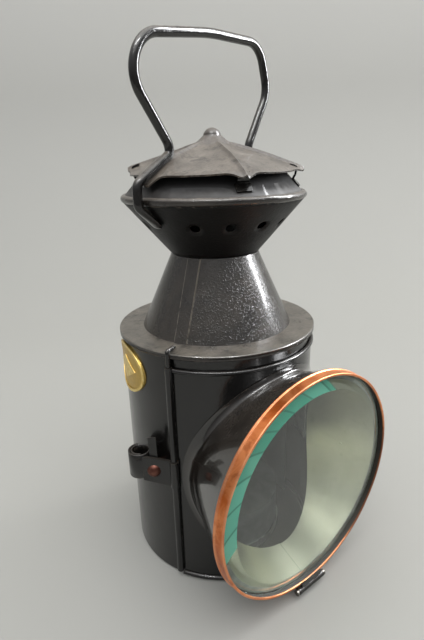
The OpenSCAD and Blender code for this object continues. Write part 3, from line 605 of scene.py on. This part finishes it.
# Painted sheen: the flange's up-facing lightening is raised to stand for the light it reflects, besides its
# dirt.
FLANGE_BLACK = japan("black_japan_flange", low="181512", high="322c26", dust_and_sheen_film="8f877b", dust_and_sheen=0.8,
                     rough=(0.1, 0.28), grain=0.04, speckle=0.06)
BOWL_BLACK = japan("black_japan_bowl", low="040303", high="0c0a09", dust_and_sheen=0.15, rough=(0.3, 0.6), speckle=0.05,
                   coat=0.0, specular=0.25)
RIM_BLACK = japan("black_japan_rim", low="1c1917", high="3c3732", dust_and_sheen_film="8c8276", dust_and_sheen=0.7, rough=(0.1, 0.35),
                  speckle=0.05)
# The bowl's top, with the crown's shadow painted on.
CROWN_SHADOW_BLACK = japan("japan_painted_crown_shadow", low="0d0b0a", high="211c18", dust_and_sheen=0.2, rough=(0.35, 0.6),
                     crown_shadow=(50.5 * MM, 46.5 * MM))
# The crown's lighter brown-grey base and strong up-facing lightening are painted sheen from the light above,
# besides its wear.
CROWN_BLACK = japan("crown_japan_worn_painted_sheen", low="2b2622", high="4a4138", dust_and_sheen_film="a0968a", dust_and_sheen=0.64,
                    rough=(0.16, 0.36), grain=0.03, speckle=0.05, waves=0.9, worn=0.7)
COPPER = copper_finish()
BRASS_PLATE = brass_plate_finish()
SILVER = silver_finish()
REAR_SILVER = silver_finish("silvered_back", low="a0a1a3", high="b4b5b5", dents=0.1)
GLASS = clear_glass()
BEVEL_GLASS = bevel_glass()
PUTTY = packing_finish()
COTTON = cotton_finish()
TIN = metal_finish("tinplate", "8c8e8a", "b4b6b1", (0.28, 0.5), stain="6a5a48")
BURNER_BRASS = metal_finish("burner_brass", "7a6030", "b29350", (0.25, 0.5), stain="4d3c22")
FONT_TIN = metal_finish("dull_tinplate", "808284", "919394", (0.38, 0.5))
STEEL = metal_finish("steel_wire", "5b5852", "85817a", (0.3, 0.5), grain=(1, 1, 0.1), stain="4a3527")
RIVET = metal_finish("old_copper_rivet", "4f3029", "7d564b", (0.35, 0.6), stain="2c1b16")


# ---------------- glass front

def bezel_ring():
    """Copper bezel: side band with a rolled back edge, full shoulder and a turned-in lip."""
    roll = 0.5 * MM
    outline = [(bezel_r - SHEET, bezel_back), (bezel_r + roll, bezel_back),
               (bezel_r + roll, bezel_back + 2 * roll), (bezel_r, bezel_back + 2.6 * roll),
               (bezel_r, bezel_front), (LIP_R, bezel_front - LIP_FALL),
               (LIP_R, bezel_front - SHEET - LIP_FALL), (bezel_r - SHEET, bezel_front - SHEET)]
    radii = [0.3 * MM, 0.5 * MM, 0.5 * MM, 0.6 * MM, 3.4 * MM, 0.45 * MM, 0.3 * MM, 2.6 * MM]
    outline = rounded(outline, radii, 7)

    def handmade(radius, angle, forward):
        wave = 0.05 * MM * sin(5 * angle + 1) + 0.04 * MM * sin(11 * angle)
        return radius + wave, forward + 0.5 * wave

    points, faces = lathe(outline, 180, around_glass, handmade)
    make_piece("copper_bezel", points, faces, COPPER, "bezel", "glass_front", sharp=40)


def bevelled_glass():
    """Plate glass with a wide ground bevel; the bevel is its own finish."""
    arris = 0.4 * MM
    back = [(glass_r * k / 8, glass_back) for k in range(8)]
    side = [(glass_r - arris, glass_back), (glass_r, glass_back + arris),
            (glass_r, glass_front - BEVEL_DROP), (glass_r - BEVEL, glass_front)]
    outline = back + side + [(glass_r * k / 8, glass_front) for k in range(6, -1, -1)]
    points, faces = dome(outline, 180, around_glass)
    piece = make_piece("bevelled_glass", points, faces, GLASS, "glass", "glass_front", sharp=8)
    piece.data.materials.append(BEVEL_GLASS)
    piece.data.materials.append(PUTTY)
    for face in piece.data.polygons:
        if -0.97 < face.normal.y < -0.5:
            face.material_index = 1
        elif abs(face.normal.y) < 0.3:
            face.material_index = 2


def packing_ring():
    """Putty bedding between the glass and the bezel's lip."""
    inner = LIP_R + 0.3 * MM
    lip = bezel_front - SHEET - LIP_FALL
    outline = [(glass_r, glass_back), (bezel_r - SHEET, glass_back), (bezel_r - SHEET, lip - 3 * MM),
               (glass_r + 1 * MM, lip), (inner, lip), (inner, glass_front - 2.1 * MM),
               (glass_r, glass_front - BEVEL_DROP)]
    outline = rounded(outline, 0.25 * MM, 2)

    def crumbly(radius, angle, forward):
        edge = radius < glass_r and forward > glass_front - 2.3 * MM
        spot = Vector((sin(angle), cos(angle), forward / glass_r))
        return radius - (0.25 * MM * max(0, ripple(spot, 14)) if edge else 0), forward

    points, faces = lathe(outline, 240, around_glass, crumbly)
    make_piece("glass_putty", points, faces, PUTTY, "glass_packing", "glass_front",
               sharp=40)


# ---------------- reflector front

def cone_radius(front_radius, front, forward):
    """Radius of the hood or its liner at a distance forward of the centre line."""
    return front_radius + FLARE * (forward - front)


def meets_case(front_radius, front, angle, case_radius):
    """How far forward a generator of the cone meets a cylinder about the centre line."""
    near, far = 10 * MM, case_radius
    for _ in range(40):
        mid = (near + far) / 2
        side = cone_radius(front_radius, front, mid) * sin(angle)
        if side * side + mid * mid > case_radius * case_radius:
            far = mid
        else:
            near = mid
    return far


def hood_shell():
    """Black outer cone, its root swept out to lie on the case like a soldered fillet."""
    wall = CASE_R + 0.35 * MM
    steps, rise, foot = 180, 26, 8
    lay = 5.5 * MM                     # how far the fillet reaches along the cone and along the case
    outer = []
    for i in range(steps):
        angle = TURN * i / steps
        root = meets_case(hood_r, hood_front, angle, wall)
        start = root + lay
        ring = []
        for k in range(rise + 1):
            forward = hood_front + (start - hood_front) * k / rise
            ring.append(around_glass(cone_radius(hood_r, hood_front, forward), angle, forward))
        corner = around_glass(cone_radius(hood_r, hood_front, root), angle, root)
        out = Vector((sin(angle), 0, cos(angle)))
        face = Vector((corner.x, corner.y, 0)).normalized()
        along = (out - face * out.dot(face)).normalized()
        end = corner + along * lay
        end = around_z(wall, atan2(end.x, -end.y), end.z)
        for k in range(1, foot + 1):
            t = k / foot
            ring.append(curve(ring[rise], corner, end, t))
        outer.append(ring)
    rows = rise + foot + 1
    points, inner = [], []
    for i, ring in enumerate(outer):
        before, after = outer[i - 1], outer[(i + 1) % steps]
        for k, spot in enumerate(ring):
            along = ring[min(k + 1, rows - 1)] - ring[max(k - 1, 0)]
            normal = along.cross(after[k] - before[k]).normalized()
            dent = 0.18 * MM * ripple(spot, 42, 3) + 0.05 * MM * ripple(spot, 160, 5)
            points.append(spot + normal * (dent if k else 0))
            inner.append(spot - normal * LINING)
    count = len(points)
    points += inner
    faces = grid(steps, rows, True, False) + grid(steps, rows, True, False, count)
    for i in range(steps):
        k = (i + 1) % steps
        for a, b in ((i * rows, k * rows), (i * rows + rows - 1, k * rows + rows - 1)):
            faces.append([a, b, count + b, count + a])
    make_piece("reflector_hood_shell", points, faces, HOOD_BLACK, "reflector_hood", "door", sharp=60)


def liner_cone():
    """Silvered inner cone with one lap seam low on its side."""
    wall = CASE_R - LINING
    steps, rise, lap = 240, 24, 0.8 * MM
    slit = 1e-4                        # radians left open on each side of the seam

    def lapped(angle):
        past = (angle - LINER_SEAM) % TURN
        return lap * max(0.0, 1 - past / radians(30))

    inner, outer = [], []
    for i in range(steps + 1):
        angle = LINER_SEAM + slit + (TURN - 2 * slit) * i / steps
        root = meets_case(liner_r, liner_front, angle, wall)
        for k in range(rise + 1):
            forward = liner_front + (root - liner_front) * k / rise
            radius = cone_radius(liner_r, liner_front, forward)
            spot = around_glass(radius, angle, forward)
            dent = 0.22 * MM * ripple(spot, 38, 9)
            inner.append(around_glass(radius - LINING - lapped(angle) + dent, angle, forward))
            outer.append(spot)
    rows = rise + 1
    count = len(inner)
    faces = grid(steps + 1, rows) + grid(steps + 1, rows, start=count)
    for i in range(steps):
        for k in (0, rows - 1):
            a, b = i * rows + k, (i + 1) * rows + k
            faces.append([a, b, count + b, count + a])
    for i in (0, steps):
        for k in range(rows - 1):
            a = i * rows + k
            faces.append([a, a + 1, count + a + 1, count + a])
    make_piece("silvered_liner", inner + outer, faces, SILVER, "reflector_cone", "door",
               sharp=30)


# ---------------- crown

rim_low, rim_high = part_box("bowl_rim_bead")
RIM_BEAD = (rim_high.z - rim_low.z) / 2
RIM_R, RIM_Z = rim_high.y - RIM_BEAD, rim_low.z + RIM_BEAD
NECK_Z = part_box("chimney_cone")[1].z
NECK_R = 26.5 * MM
CROWN_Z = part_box("crown")[1].z
CROWN_R = 52 * MM
CROWN_MID = 36 * MM
CROWN_FALL = 0.303
# how far each corner is turned down, from the handle's near corner on
DROPS = [7.3 * MM, 3.7 * MM, 1.8 * MM, 7.3 * MM, 3 * MM, -0.6 * MM]


def crown_height(radius, azimuth):
    """Height of the pleated cap: dished facets between creased ridges, and turned-down corners."""
    turn = (azimuth - CROWN_AZ) / SECTOR
    corner = round(turn)
    off = abs(turn - corner) * SECTOR
    beside = radius * sin(off)
    height = CROWN_Z - CROWN_FALL * radius * cos(SECTOR / 2 - off) / cos(SECTOR / 2)
    crease = 0.8 * MM * exp(-(beside / (1.1 * MM)) ** 2)
    dish = 1.6 * MM * (1 - exp(-beside / (4.5 * MM)))
    height += min(1.0, radius / (16 * MM)) * (crease - dish)
    bend_r = CROWN_MID * 0.72
    share = max(0.0, (radius - bend_r) / (CROWN_R - bend_r))
    tongue = exp(-(off / radians(6.5)) ** 2)
    pull = 0.35 * exp(-(off / radians(15)) ** 2)
    return height - DROPS[corner % CORNERS] * share ** 1.7 * (tongue * 0.75 + pull * 0.72)


def crown_edge(azimuth):
    """Radius of the cap's edge: tongues at the corners, shallow arches between."""
    turn = (azimuth - CROWN_AZ) / SECTOR
    off = abs(turn - round(turn)) * SECTOR
    arch = CROWN_R - 4.5 * MM + 1.2 * MM * (off / (SECTOR / 2) - 1) ** 2
    return arch + 3.4 * MM * exp(-(off / radians(5.5)) ** 2)


def crown_sheet():
    """The pleated cap as one dented sheet with its edge turned a little down."""
    steps, rings = 576, 44
    top = [Vector((0, 0, crown_height(0, 0)))]
    for k in range(1, rings + 1):
        for i in range(steps):
            azimuth = TURN * i / steps
            radius = crown_edge(azimuth) * (k / rings) ** 0.9
            spot = around_z(radius, azimuth, crown_height(radius, azimuth))
            dent = 0.16 * MM * ripple(spot, 70, 1) + 0.3 * MM * ripple(spot, 30, 2)
            spot.z += dent * min(1, radius / (10 * MM))
            spot.z -= 0.5 * MM * max(0, k / rings - 0.95) / 0.05
            top.append(spot)
    count = len(top)
    under = [p - Vector((0, 0, SHEET)) for p in top]
    faces = []
    for base in (0, count):
        faces += [[base, base + 1 + i, base + 1 + (i + 1) % steps] for i in range(steps)]
        faces += grid(rings, steps, False, True, base + 1)
    edge = 1 + (rings - 1) * steps
    for i in range(steps):
        a, b = edge + i, edge + (i + 1) % steps
        faces.append([a, b, count + b, count + a])
    make_piece("pleated_crown", top + under, faces, CROWN_BLACK, "crown")


def crown_top():
    """Small soldered dome at the apex, with a skirt that runs out over the ridges."""
    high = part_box("crown_finial")[1].z
    outline = [(0, high)]
    ball = 5.2 * MM
    centre = high - ball
    for k in range(1, 13):
        t = radians(6.5 * k)
        outline.append((ball * sin(t), centre + ball * cos(t)))
    skirt = outline[-1]
    for k in range(1, 7):
        t = k / 6
        radius = skirt[0] + 7 * MM * t
        floor = CROWN_Z - CROWN_FALL * radius - 0.25 * MM
        outline.append((radius, skirt[1] * (1 - t) ** 2 + floor * (1 - (1 - t) ** 2)))
    outline += [(outline[-1][0] - 0.4 * MM, outline[-1][1] - 0.5 * MM), (0, CROWN_Z - 4 * MM)]

    def laid(radius, azimuth, height):
        """The skirt lies on ridges and facets alike."""
        share = clamp((radius - skirt[0]) / (6 * MM))
        flat = CROWN_Z - CROWN_FALL * radius
        return around_z(radius, azimuth, height + share * (crown_height(radius, azimuth) - flat))

    points, faces = dome([Vector(p) for p in outline], 96, laid)
    make_piece("crown_dome", points, faces, CROWN_BLACK, "crown_finial")


def bowl_top_height(radius):
    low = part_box("bowl_top")[0].z
    return low + 1.1 * (RIM_R - radius)


def crown_stays():
    """Four crumpled strips that run from the crown's free corners down to the bowl's top."""
    points, faces = [], []
    for k in (1, 2, 4, 5):
        azimuth = CROWN_AZ + SECTOR * k
        across = around_z(1, azimuth + pi / 2, 0)
        top = crown_height(50 * MM, azimuth) - SHEET
        lie = 0.45 * MM
        corners = [(r * MM, bowl_top_height(r * MM) + lie) for r in (49.6, 45.8)]
        corners += [(47.4 * MM, (bowl_top_height(47.4 * MM) + top) / 2), (48 * MM, top - 0.4 * MM),
                    (44 * MM, top + 1.2 * MM)]
        path = bend_corners([around_z(r, azimuth, z) for r, z in corners], [0.6 * MM, 1 * MM, 0.8 * MM], 5)
        path = resample(path, 0.7 * MM)
        rows = len(path)
        first = len(points)
        for i, here in enumerate(path):
            ahead = (path[min(i + 1, rows - 1)] - path[max(i - 1, 0)]).normalized()
            up = ahead.cross(across).normalized()
            width = (8.6 if i < rows * 0.25 else 6.4) * MM
            ring = [(j / 8 - 0.5, -0.5) for j in range(9)] + [(0.5 - j / 8, 0.5) for j in range(9)]
            for side, lift in ring:
                spot = here + across * side * width
                points.append(spot + up * (lift * 1.1 * MM + 0.5 * MM * ripple(spot, 260, 6)))
        faces += grid(rows, 18, False, True, first)
        faces += [[first + j for j in range(18)][::-1], [len(points) - 18 + j for j in range(18)]]
    make_piece("crown_stays", points, faces, STAY_BLACK, "crown_struts")


# ---------------- vent bowl and socket

def vented_bowl():
    """Inverted cone with a row of punched, slightly dished vents, but for where the handle's legs lie."""
    vents, side, rings = 14, 8, 7
    hole, dish, sunk = 2.8 * MM, 4.6 * MM, 0.7 * MM
    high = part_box("vent_bowl")[1]
    foot_r, brim_r = NECK_R + 0.4 * MM, high.y
    foot_z = NECK_Z + 0.6 * MM
    tilt = atan2(high.z - foot_z, brim_r - foot_r)
    vent_r = 42 * MM
    vent_az = radians(-52)
    half_az = pi / vents
    half_t = 6.4 * MM
    mid_t = (vent_r - foot_r) / cos(tilt)
    whole_t = (brim_r - foot_r) / cos(tilt)

    def place(azimuth, t, out):
        radius = foot_r + t * cos(tilt) + out * sin(tilt)
        return around_z(radius, azimuth, foot_z + t * sin(tilt) - out * cos(tilt))

    points, faces = [], []
    for n in range(vents):
        centre = vent_az + 2 * half_az * n
        plain = (n + 1) % (vents // 2) == 0
        first = len(points)
        count = 4 * side
        for k in range(0 if plain else rings + 1):
            for j in range(count):
                edge, step = divmod(j, side)
                along = 2 * step / side - 1
                box_a, box_t = [(1, along), (-along, 1), (-1, -along), (along, -1)][edge]
                angle = atan2(box_t, box_a)
                ring_s, ring_t = hole * cos(angle), hole * sin(angle)
                t = (k / rings) ** 1.5
                offset_t = ring_t * (1 - t) + box_t * half_t * t
                local_r = vent_r + offset_t * cos(tilt)
                offset_a = ring_s / vent_r * (1 - t) + box_a * half_az * t
                away = hypot(offset_a * local_r, offset_t)
                dip = clamp((dish - away) / (dish - hole))
                points.append(place(centre + offset_a, mid_t + offset_t, -sunk * smooth(dip)))
        if not plain:
            faces += grid(rings + 1, count, False, True, first)
        bands = [(0, mid_t - half_t, 6), (mid_t + half_t, whole_t, 5)]
        if plain:
            bands.append((mid_t - half_t, mid_t + half_t, side))
        for low_t, high_t, rows in bands:
            first = len(points)
            for i in range(rows + 1):
                for j in range(side + 1):
                    t = low_t + (high_t - low_t) * i / rows
                    points.append(place(centre + half_az * (2 * j / side - 1), t, 0))
            faces += grid(rows + 1, side + 1, start=first)
    for n in range(vents):
        centre = vent_az + 2 * half_az * n
        first = len(points)
        for i in range(2):
            for j in range(side + 1):
                azimuth = centre + half_az * (2 * j / side - 1)
                points.append(around_z(foot_r, azimuth, foot_z) if i else
                              around_z(NECK_R - SHEET - 0.3 * MM, azimuth, NECK_Z + 0.1 * MM))
        faces += grid(2, side + 1, start=first)
    for i, p in enumerate(points):
        out = Vector((p.x, p.y, 0)).normalized()
        points[i] = p + out * 0.12 * MM * ripple(p, 45, 8)
    bowl = make_piece("vented_bowl", points, faces, BOWL_BLACK, "vent_bowl", merge=0.02 * MM)
    turn_outward(bowl)
    wall = bowl.modifiers.new("wall", "SOLIDIFY")
    wall.thickness = SHEET
    wall.offset = -1


def crumpled_rim():
    """Wired bead round the bowl, dented by use."""
    section = [(RIM_R + RIM_BEAD * cos(a), RIM_Z + RIM_BEAD * sin(a))
               for a in (TURN * k / 20 for k in range(20))]

    def dented(radius, angle, height):
        spot = around_z(radius, angle, height)
        return radius + 0.3 * MM * ripple(spot, 60, 11), height + 0.25 * MM * ripple(spot, 90, 12)

    points, faces = lathe(section, 300, around_z, dented)
    make_piece("crumpled_rim", points, faces, RIM_BLACK, "bowl_rim_bead", sharp=60)


def turn_outward(piece):
    """Makes an open sheet round the centre line face away from it."""
    face = max(piece.data.polygons, key=lambda f: f.area)
    if face.normal.dot(Vector((face.center.x, face.center.y, 0))) < 0:
        piece.data.flip_normals()


def rolled_socket():
    """Upright socket rolled from a strip, so that its end shows a coil of one and a half turns."""
    low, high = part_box("socket_tube")
    centre = (low + high) / 2
    outer, thick = (high.x - low.x) / 2, 1.15 * MM
    steps, turns = 120, 1.5
    start = atan2(-centre.y, -centre.x) + radians(60)
    bevel = 0.2 * MM
    face, back = thick - bevel, thick
    section = [(bevel, low.z), (0, low.z + bevel), (0, high.z - bevel), (bevel, high.z),
               (face, high.z), (back, high.z - bevel), (back, low.z + bevel), (face, low.z)]
    points = []
    for i in range(steps + 1):
        t = turns * i / steps
        curl = clamp((t - 0.72) / 0.26)
        radius = outer - (thick + 0.28 * MM) * smooth(curl)
        angle = start + TURN * t
        across = Vector((cos(angle), sin(angle), 0))
        points += [Vector((centre.x, centre.y, z)) + across * (radius - inset) for inset, z in section]
    faces = grid(steps + 1, 8, False, True)
    faces += [list(range(8)), [len(points) - 8 + j for j in range(8)][::-1]]
    make_piece("rolled_socket", points, faces, BLACK, "socket_tube")


# ---------------- handle

def handle_wire():
    """The grip wire, bent by hand and soldered down the bowl over two corners of the crown."""
    gauge = 2.5 * MM
    grip_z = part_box("handle")[1].z - gauge - 1.1 * MM
    rest = gauge + 0.05 * MM
    gap = RIM_BEAD + rest + 0.25 * MM
    rim_u = RIM_R + gap
    tilt = atan2(RIM_Z - NECK_Z - 2.2 * MM, RIM_R - NECK_R + 0.5 * MM)
    foot_r = 44.5 * MM
    foot_z = NECK_Z + 0.6 * MM + (foot_r - NECK_R - 0.4 * MM) * tan(tilt)
    lie = rest - 1.1 * MM
    foot = Vector((foot_r + lie * sin(tilt), foot_z - lie * cos(tilt)))
    to_rim = Vector((RIM_R, RIM_Z)) - foot
    lean = atan2(to_rim.y, to_rim.x) - asin(gap / to_rim.length)
    rim_v = foot.y + (rim_u - foot.x) * tan(lean)
    drop = DROPS[0]
    mid_z = CROWN_Z - CROWN_FALL * CROWN_MID - 0.33 * drop
    slope = (mid_z - (CROWN_Z - CROWN_FALL * CROWN_R) + drop) / (CROWN_R - CROWN_MID)
    kink_u = CROWN_MID - 2.5 * MM
    kink_v = mid_z + 2.5 * MM * slope + (rest + 0.3 * MM) / cos(atan(slope))
    base = [tuple(foot), (rim_u, rim_v), (rim_u, kink_v - (rim_u - kink_u) * slope), (kink_u, kink_v),
            (kink_u + 0.3 * MM, kink_v + 4.5 * MM)]
    # (distance from the centre line, height) of the bends of the wire, on the near and the far side
    near = base + [(56 * MM, grip_z - 24.9 * MM), (47.5 * MM, grip_z - 6.2 * MM)]
    far = base + [(52.5 * MM, grip_z - 24.4 * MM), (44.5 * MM, grip_z + 1.4 * MM)]
    corners = near + [(0, grip_z + 0.4 * MM)] + [(-u, v) for u, v in reversed(far)]
    foot_bends = [gap, 5 * MM, 3.2 * MM, 9 * MM]
    bends = foot_bends + [17 * MM, 18 * MM, 150 * MM, 14 * MM, 17 * MM] + foot_bends[::-1]
    out = around_z(1, CROWN_AZ, 0)
    path = [out * u + Vector((0, 0, v)) for u, v in corners]
    path = resample(bend_corners(path, bends, 14), 1.6 * MM)
    path = [p + out.cross(Vector((0, 0, 1))) * 0.25 * MM * ripple(p, 26, 4) for p in path]

    def hammered(share):
        """Both ends are beaten flat where they are soldered to the bowl."""
        end = max(0.0, 1 - min(share, 1 - share) / 0.034)
        flat = smooth(end)
        return 1 + 0.45 * flat, 1 - 0.45 * flat

    points, faces = wire(path, gauge, 28, out.cross(Vector((0, 0, 1))), hammered)
    make_piece("handle_wire", points, faces, GLOSSY_BLACK, "handle", sharp=60)


# ---------------- carried-over parts

FINISHES = {
    BLACK: ("base_pan rear_shell handle socket_bracket socket_tube socket_spring "
            "door_thumb_tab hood_hinge_leaf bezel_hinge_leaf"),
    DOOR_BLACK: "hood_collar door_shell reflector_hood",
    FLANGE_BLACK: "hood_flange",
    CONE_BLACK: "chimney_cone",
    BOWL_BLACK: "vent_bowl",
    RIM_BLACK: "bowl_rim_bead",
    CROWN_SHADOW_BLACK: "bowl_top",
    TIN: "inner_chimney catch_tongue font_ring glass_seat",
    CROWN_BLACK: "crown crown_struts crown_finial",
    GLOSSY_BLACK: "hinge_pin",
    RIVET: "bracket_rivet",
    BRASS_PLATE: "oval_plate",
    REAR_SILVER: "rear_reflector",
    SILVER: "reflector_cone",
    STEEL: "bezel_hinge_pin",
    COPPER: "bezel",
    GLASS: "glass",
    PUTTY: "glass_packing",
    FONT_TIN: "oil_font",
    BURNER_BRASS: "burner_body burner_cap wick_tube filler_cap wick_spindle wick_wheels wick_knob",
    COTTON: "wick",
}
for finish, nodes in FINISHES.items():
    for node in nodes.split():
        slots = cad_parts[node].data.materials
        slots.clear()
        slots.append(finish)

bezel_ring()
bevelled_glass()
packing_ring()
hood_shell()
liner_cone()
crown_sheet()
crown_top()
crown_stays()
vented_bowl()
crumpled_rim()
rolled_socket()
handle_wire()


# ---------------- stage, light and camera

def backdrop():
    """Pale floor that curves up into a wall behind the lamp."""
    half, back, tall, bend = 1.7, 0.8, 1.7, 0.4
    heading = radians(-38)
    profile = [(-0.6, 0)]
    profile += [(back - bend + bend * sin(a), bend - bend * cos(a))
                for a in (pi / 2 * k / 16 for k in range(17))]
    profile += [(back, tall)]
    points = []
    for forward, height in profile:
        for side in (-half, half):
            points.append(Matrix.Rotation(heading, 3, "Z") @ Vector((side, forward, height)))
    mesh = bpy.data.meshes.new("studio_sweep")
    mesh.from_pydata([tuple(p) for p in points], [], grid(len(profile), 2))
    mesh.shade_smooth()
    f = Finish("studio_paper")
    _, _, height = f.axes()
    # Painted light: the wall is made paler than the floor, as if more lit.
    paper_with_painted_light = f.mix(f.step(height, -0.2, 1.0), tone("aeada7"), tone("dfdeda"))
    f.set(color=f.tint(paper_with_painted_light, f.noise(0.4, 3), 0.12, "c8c7c2"), rough=0.85, specular=0.2)
    mesh.materials.append(f.material)
    put("studio_sweep", mesh)


MIDDLE = Vector((0, 0, 0.14))          # where the lights look


def lamp(name, azimuth, elevation, distance, size, power, color=(1, 1, 1), seen_only=False, unlit=()):
    """A soft rectangular light that looks at the middle of the object. One that is seen only shows in
    glossy surfaces, but for the unlit pieces, and leaves matt ones alone."""
    light = bpy.data.lights.new(name, "AREA")
    light.shape = "RECTANGLE"
    light.size, light.size_y = size
    light.energy = power
    light.color = color
    holder = put(name, light)
    a, e = radians(azimuth), radians(elevation)
    reach = distance * around_z(cos(e), a, sin(e))
    holder.location = MIDDLE + reach
    holder.rotation_euler = (-reach).to_track_quat("-Z", "Y").to_euler()
    holder.visible_diffuse = not seen_only
    if seen_only:
        apart = bpy.data.collections.new(name + "_apart")
        for piece in unlit:
            apart.objects.link(piece)
        for entry in apart.collection_objects:
            entry.light_linking.link_state = "EXCLUDE"
        holder.light_linking.receiver_collection = apart


def sky():
    """Dim room: light from above, darker in front."""
    world = bpy.data.worlds.new("room")
    bpy.context.scene.world = world
    world.use_nodes = True
    nodes, links = world.node_tree.nodes, world.node_tree.links
    background = nodes["Background"]
    place = nodes.new("ShaderNodeTexCoord")
    axis = nodes.new("ShaderNodeSeparateXYZ")
    links.new(place.outputs["Generated"], axis.inputs[0])
    ramp = nodes.new("ShaderNodeValToRGB")
    stops = ((0.47, (0.14, 0.14, 0.14, 1)), (0.95, (0.68, 0.70, 0.72, 1)))
    for element, (position, color) in zip(ramp.color_ramp.elements, stops):
        element.position = position
        element.color = color
    scale = nodes.new("ShaderNodeMapRange")
    scale.inputs["From Min"].default_value = -1
    links.new(axis.outputs["Z"], scale.inputs["Value"])
    links.new(scale.outputs["Result"], ramp.inputs["Fac"])
    links.new(ramp.outputs["Color"], background.inputs["Color"])
    background.inputs["Strength"].default_value = 1.35


def camera():
    """The viewing angle: above eye height, left of the glass, looking down on the lamp."""
    view = bpy.data.cameras.new("camera")
    view.sensor_fit = "AUTO"
    view.sensor_width = 36
    view.lens = 25.63
    view.clip_start = 0.01
    holder = put("camera", view)
    spot = Vector((-0.17196, -0.21848, 0.25113))
    ahead = Vector((0.5757, 0.7476, -0.3310)).normalized()
    right = Vector((0.7862, -0.6174, -0.0269)).normalized()
    up = right.cross(ahead)
    holder.matrix_world = Matrix.Translation(spot) @ Matrix((right, up, -ahead)).transposed().to_4x4()
    bpy.context.scene.camera = holder


backdrop()
lamp("ceiling_softbox", -20, 76, 1.5, (1.8, 1.8), 17)
silvered = [bpy.data.objects["silvered_liner"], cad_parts["rear_reflector"]]
lamp("window_right", 62, 34, 1.1, (0.15, 0.8), 26, (0.97, 0.98, 1), seen_only=True, unlit=silvered)
lamp("window_far", 85, 26, 1.7, (0.8, 1.0), 14)
lamp("tube_above", -40, 66, 1.5, (0.9, 0.06), 11, seen_only=True, unlit=silvered)
sky()
camera()
bpy.context.scene.view_settings.view_transform = "Standard"
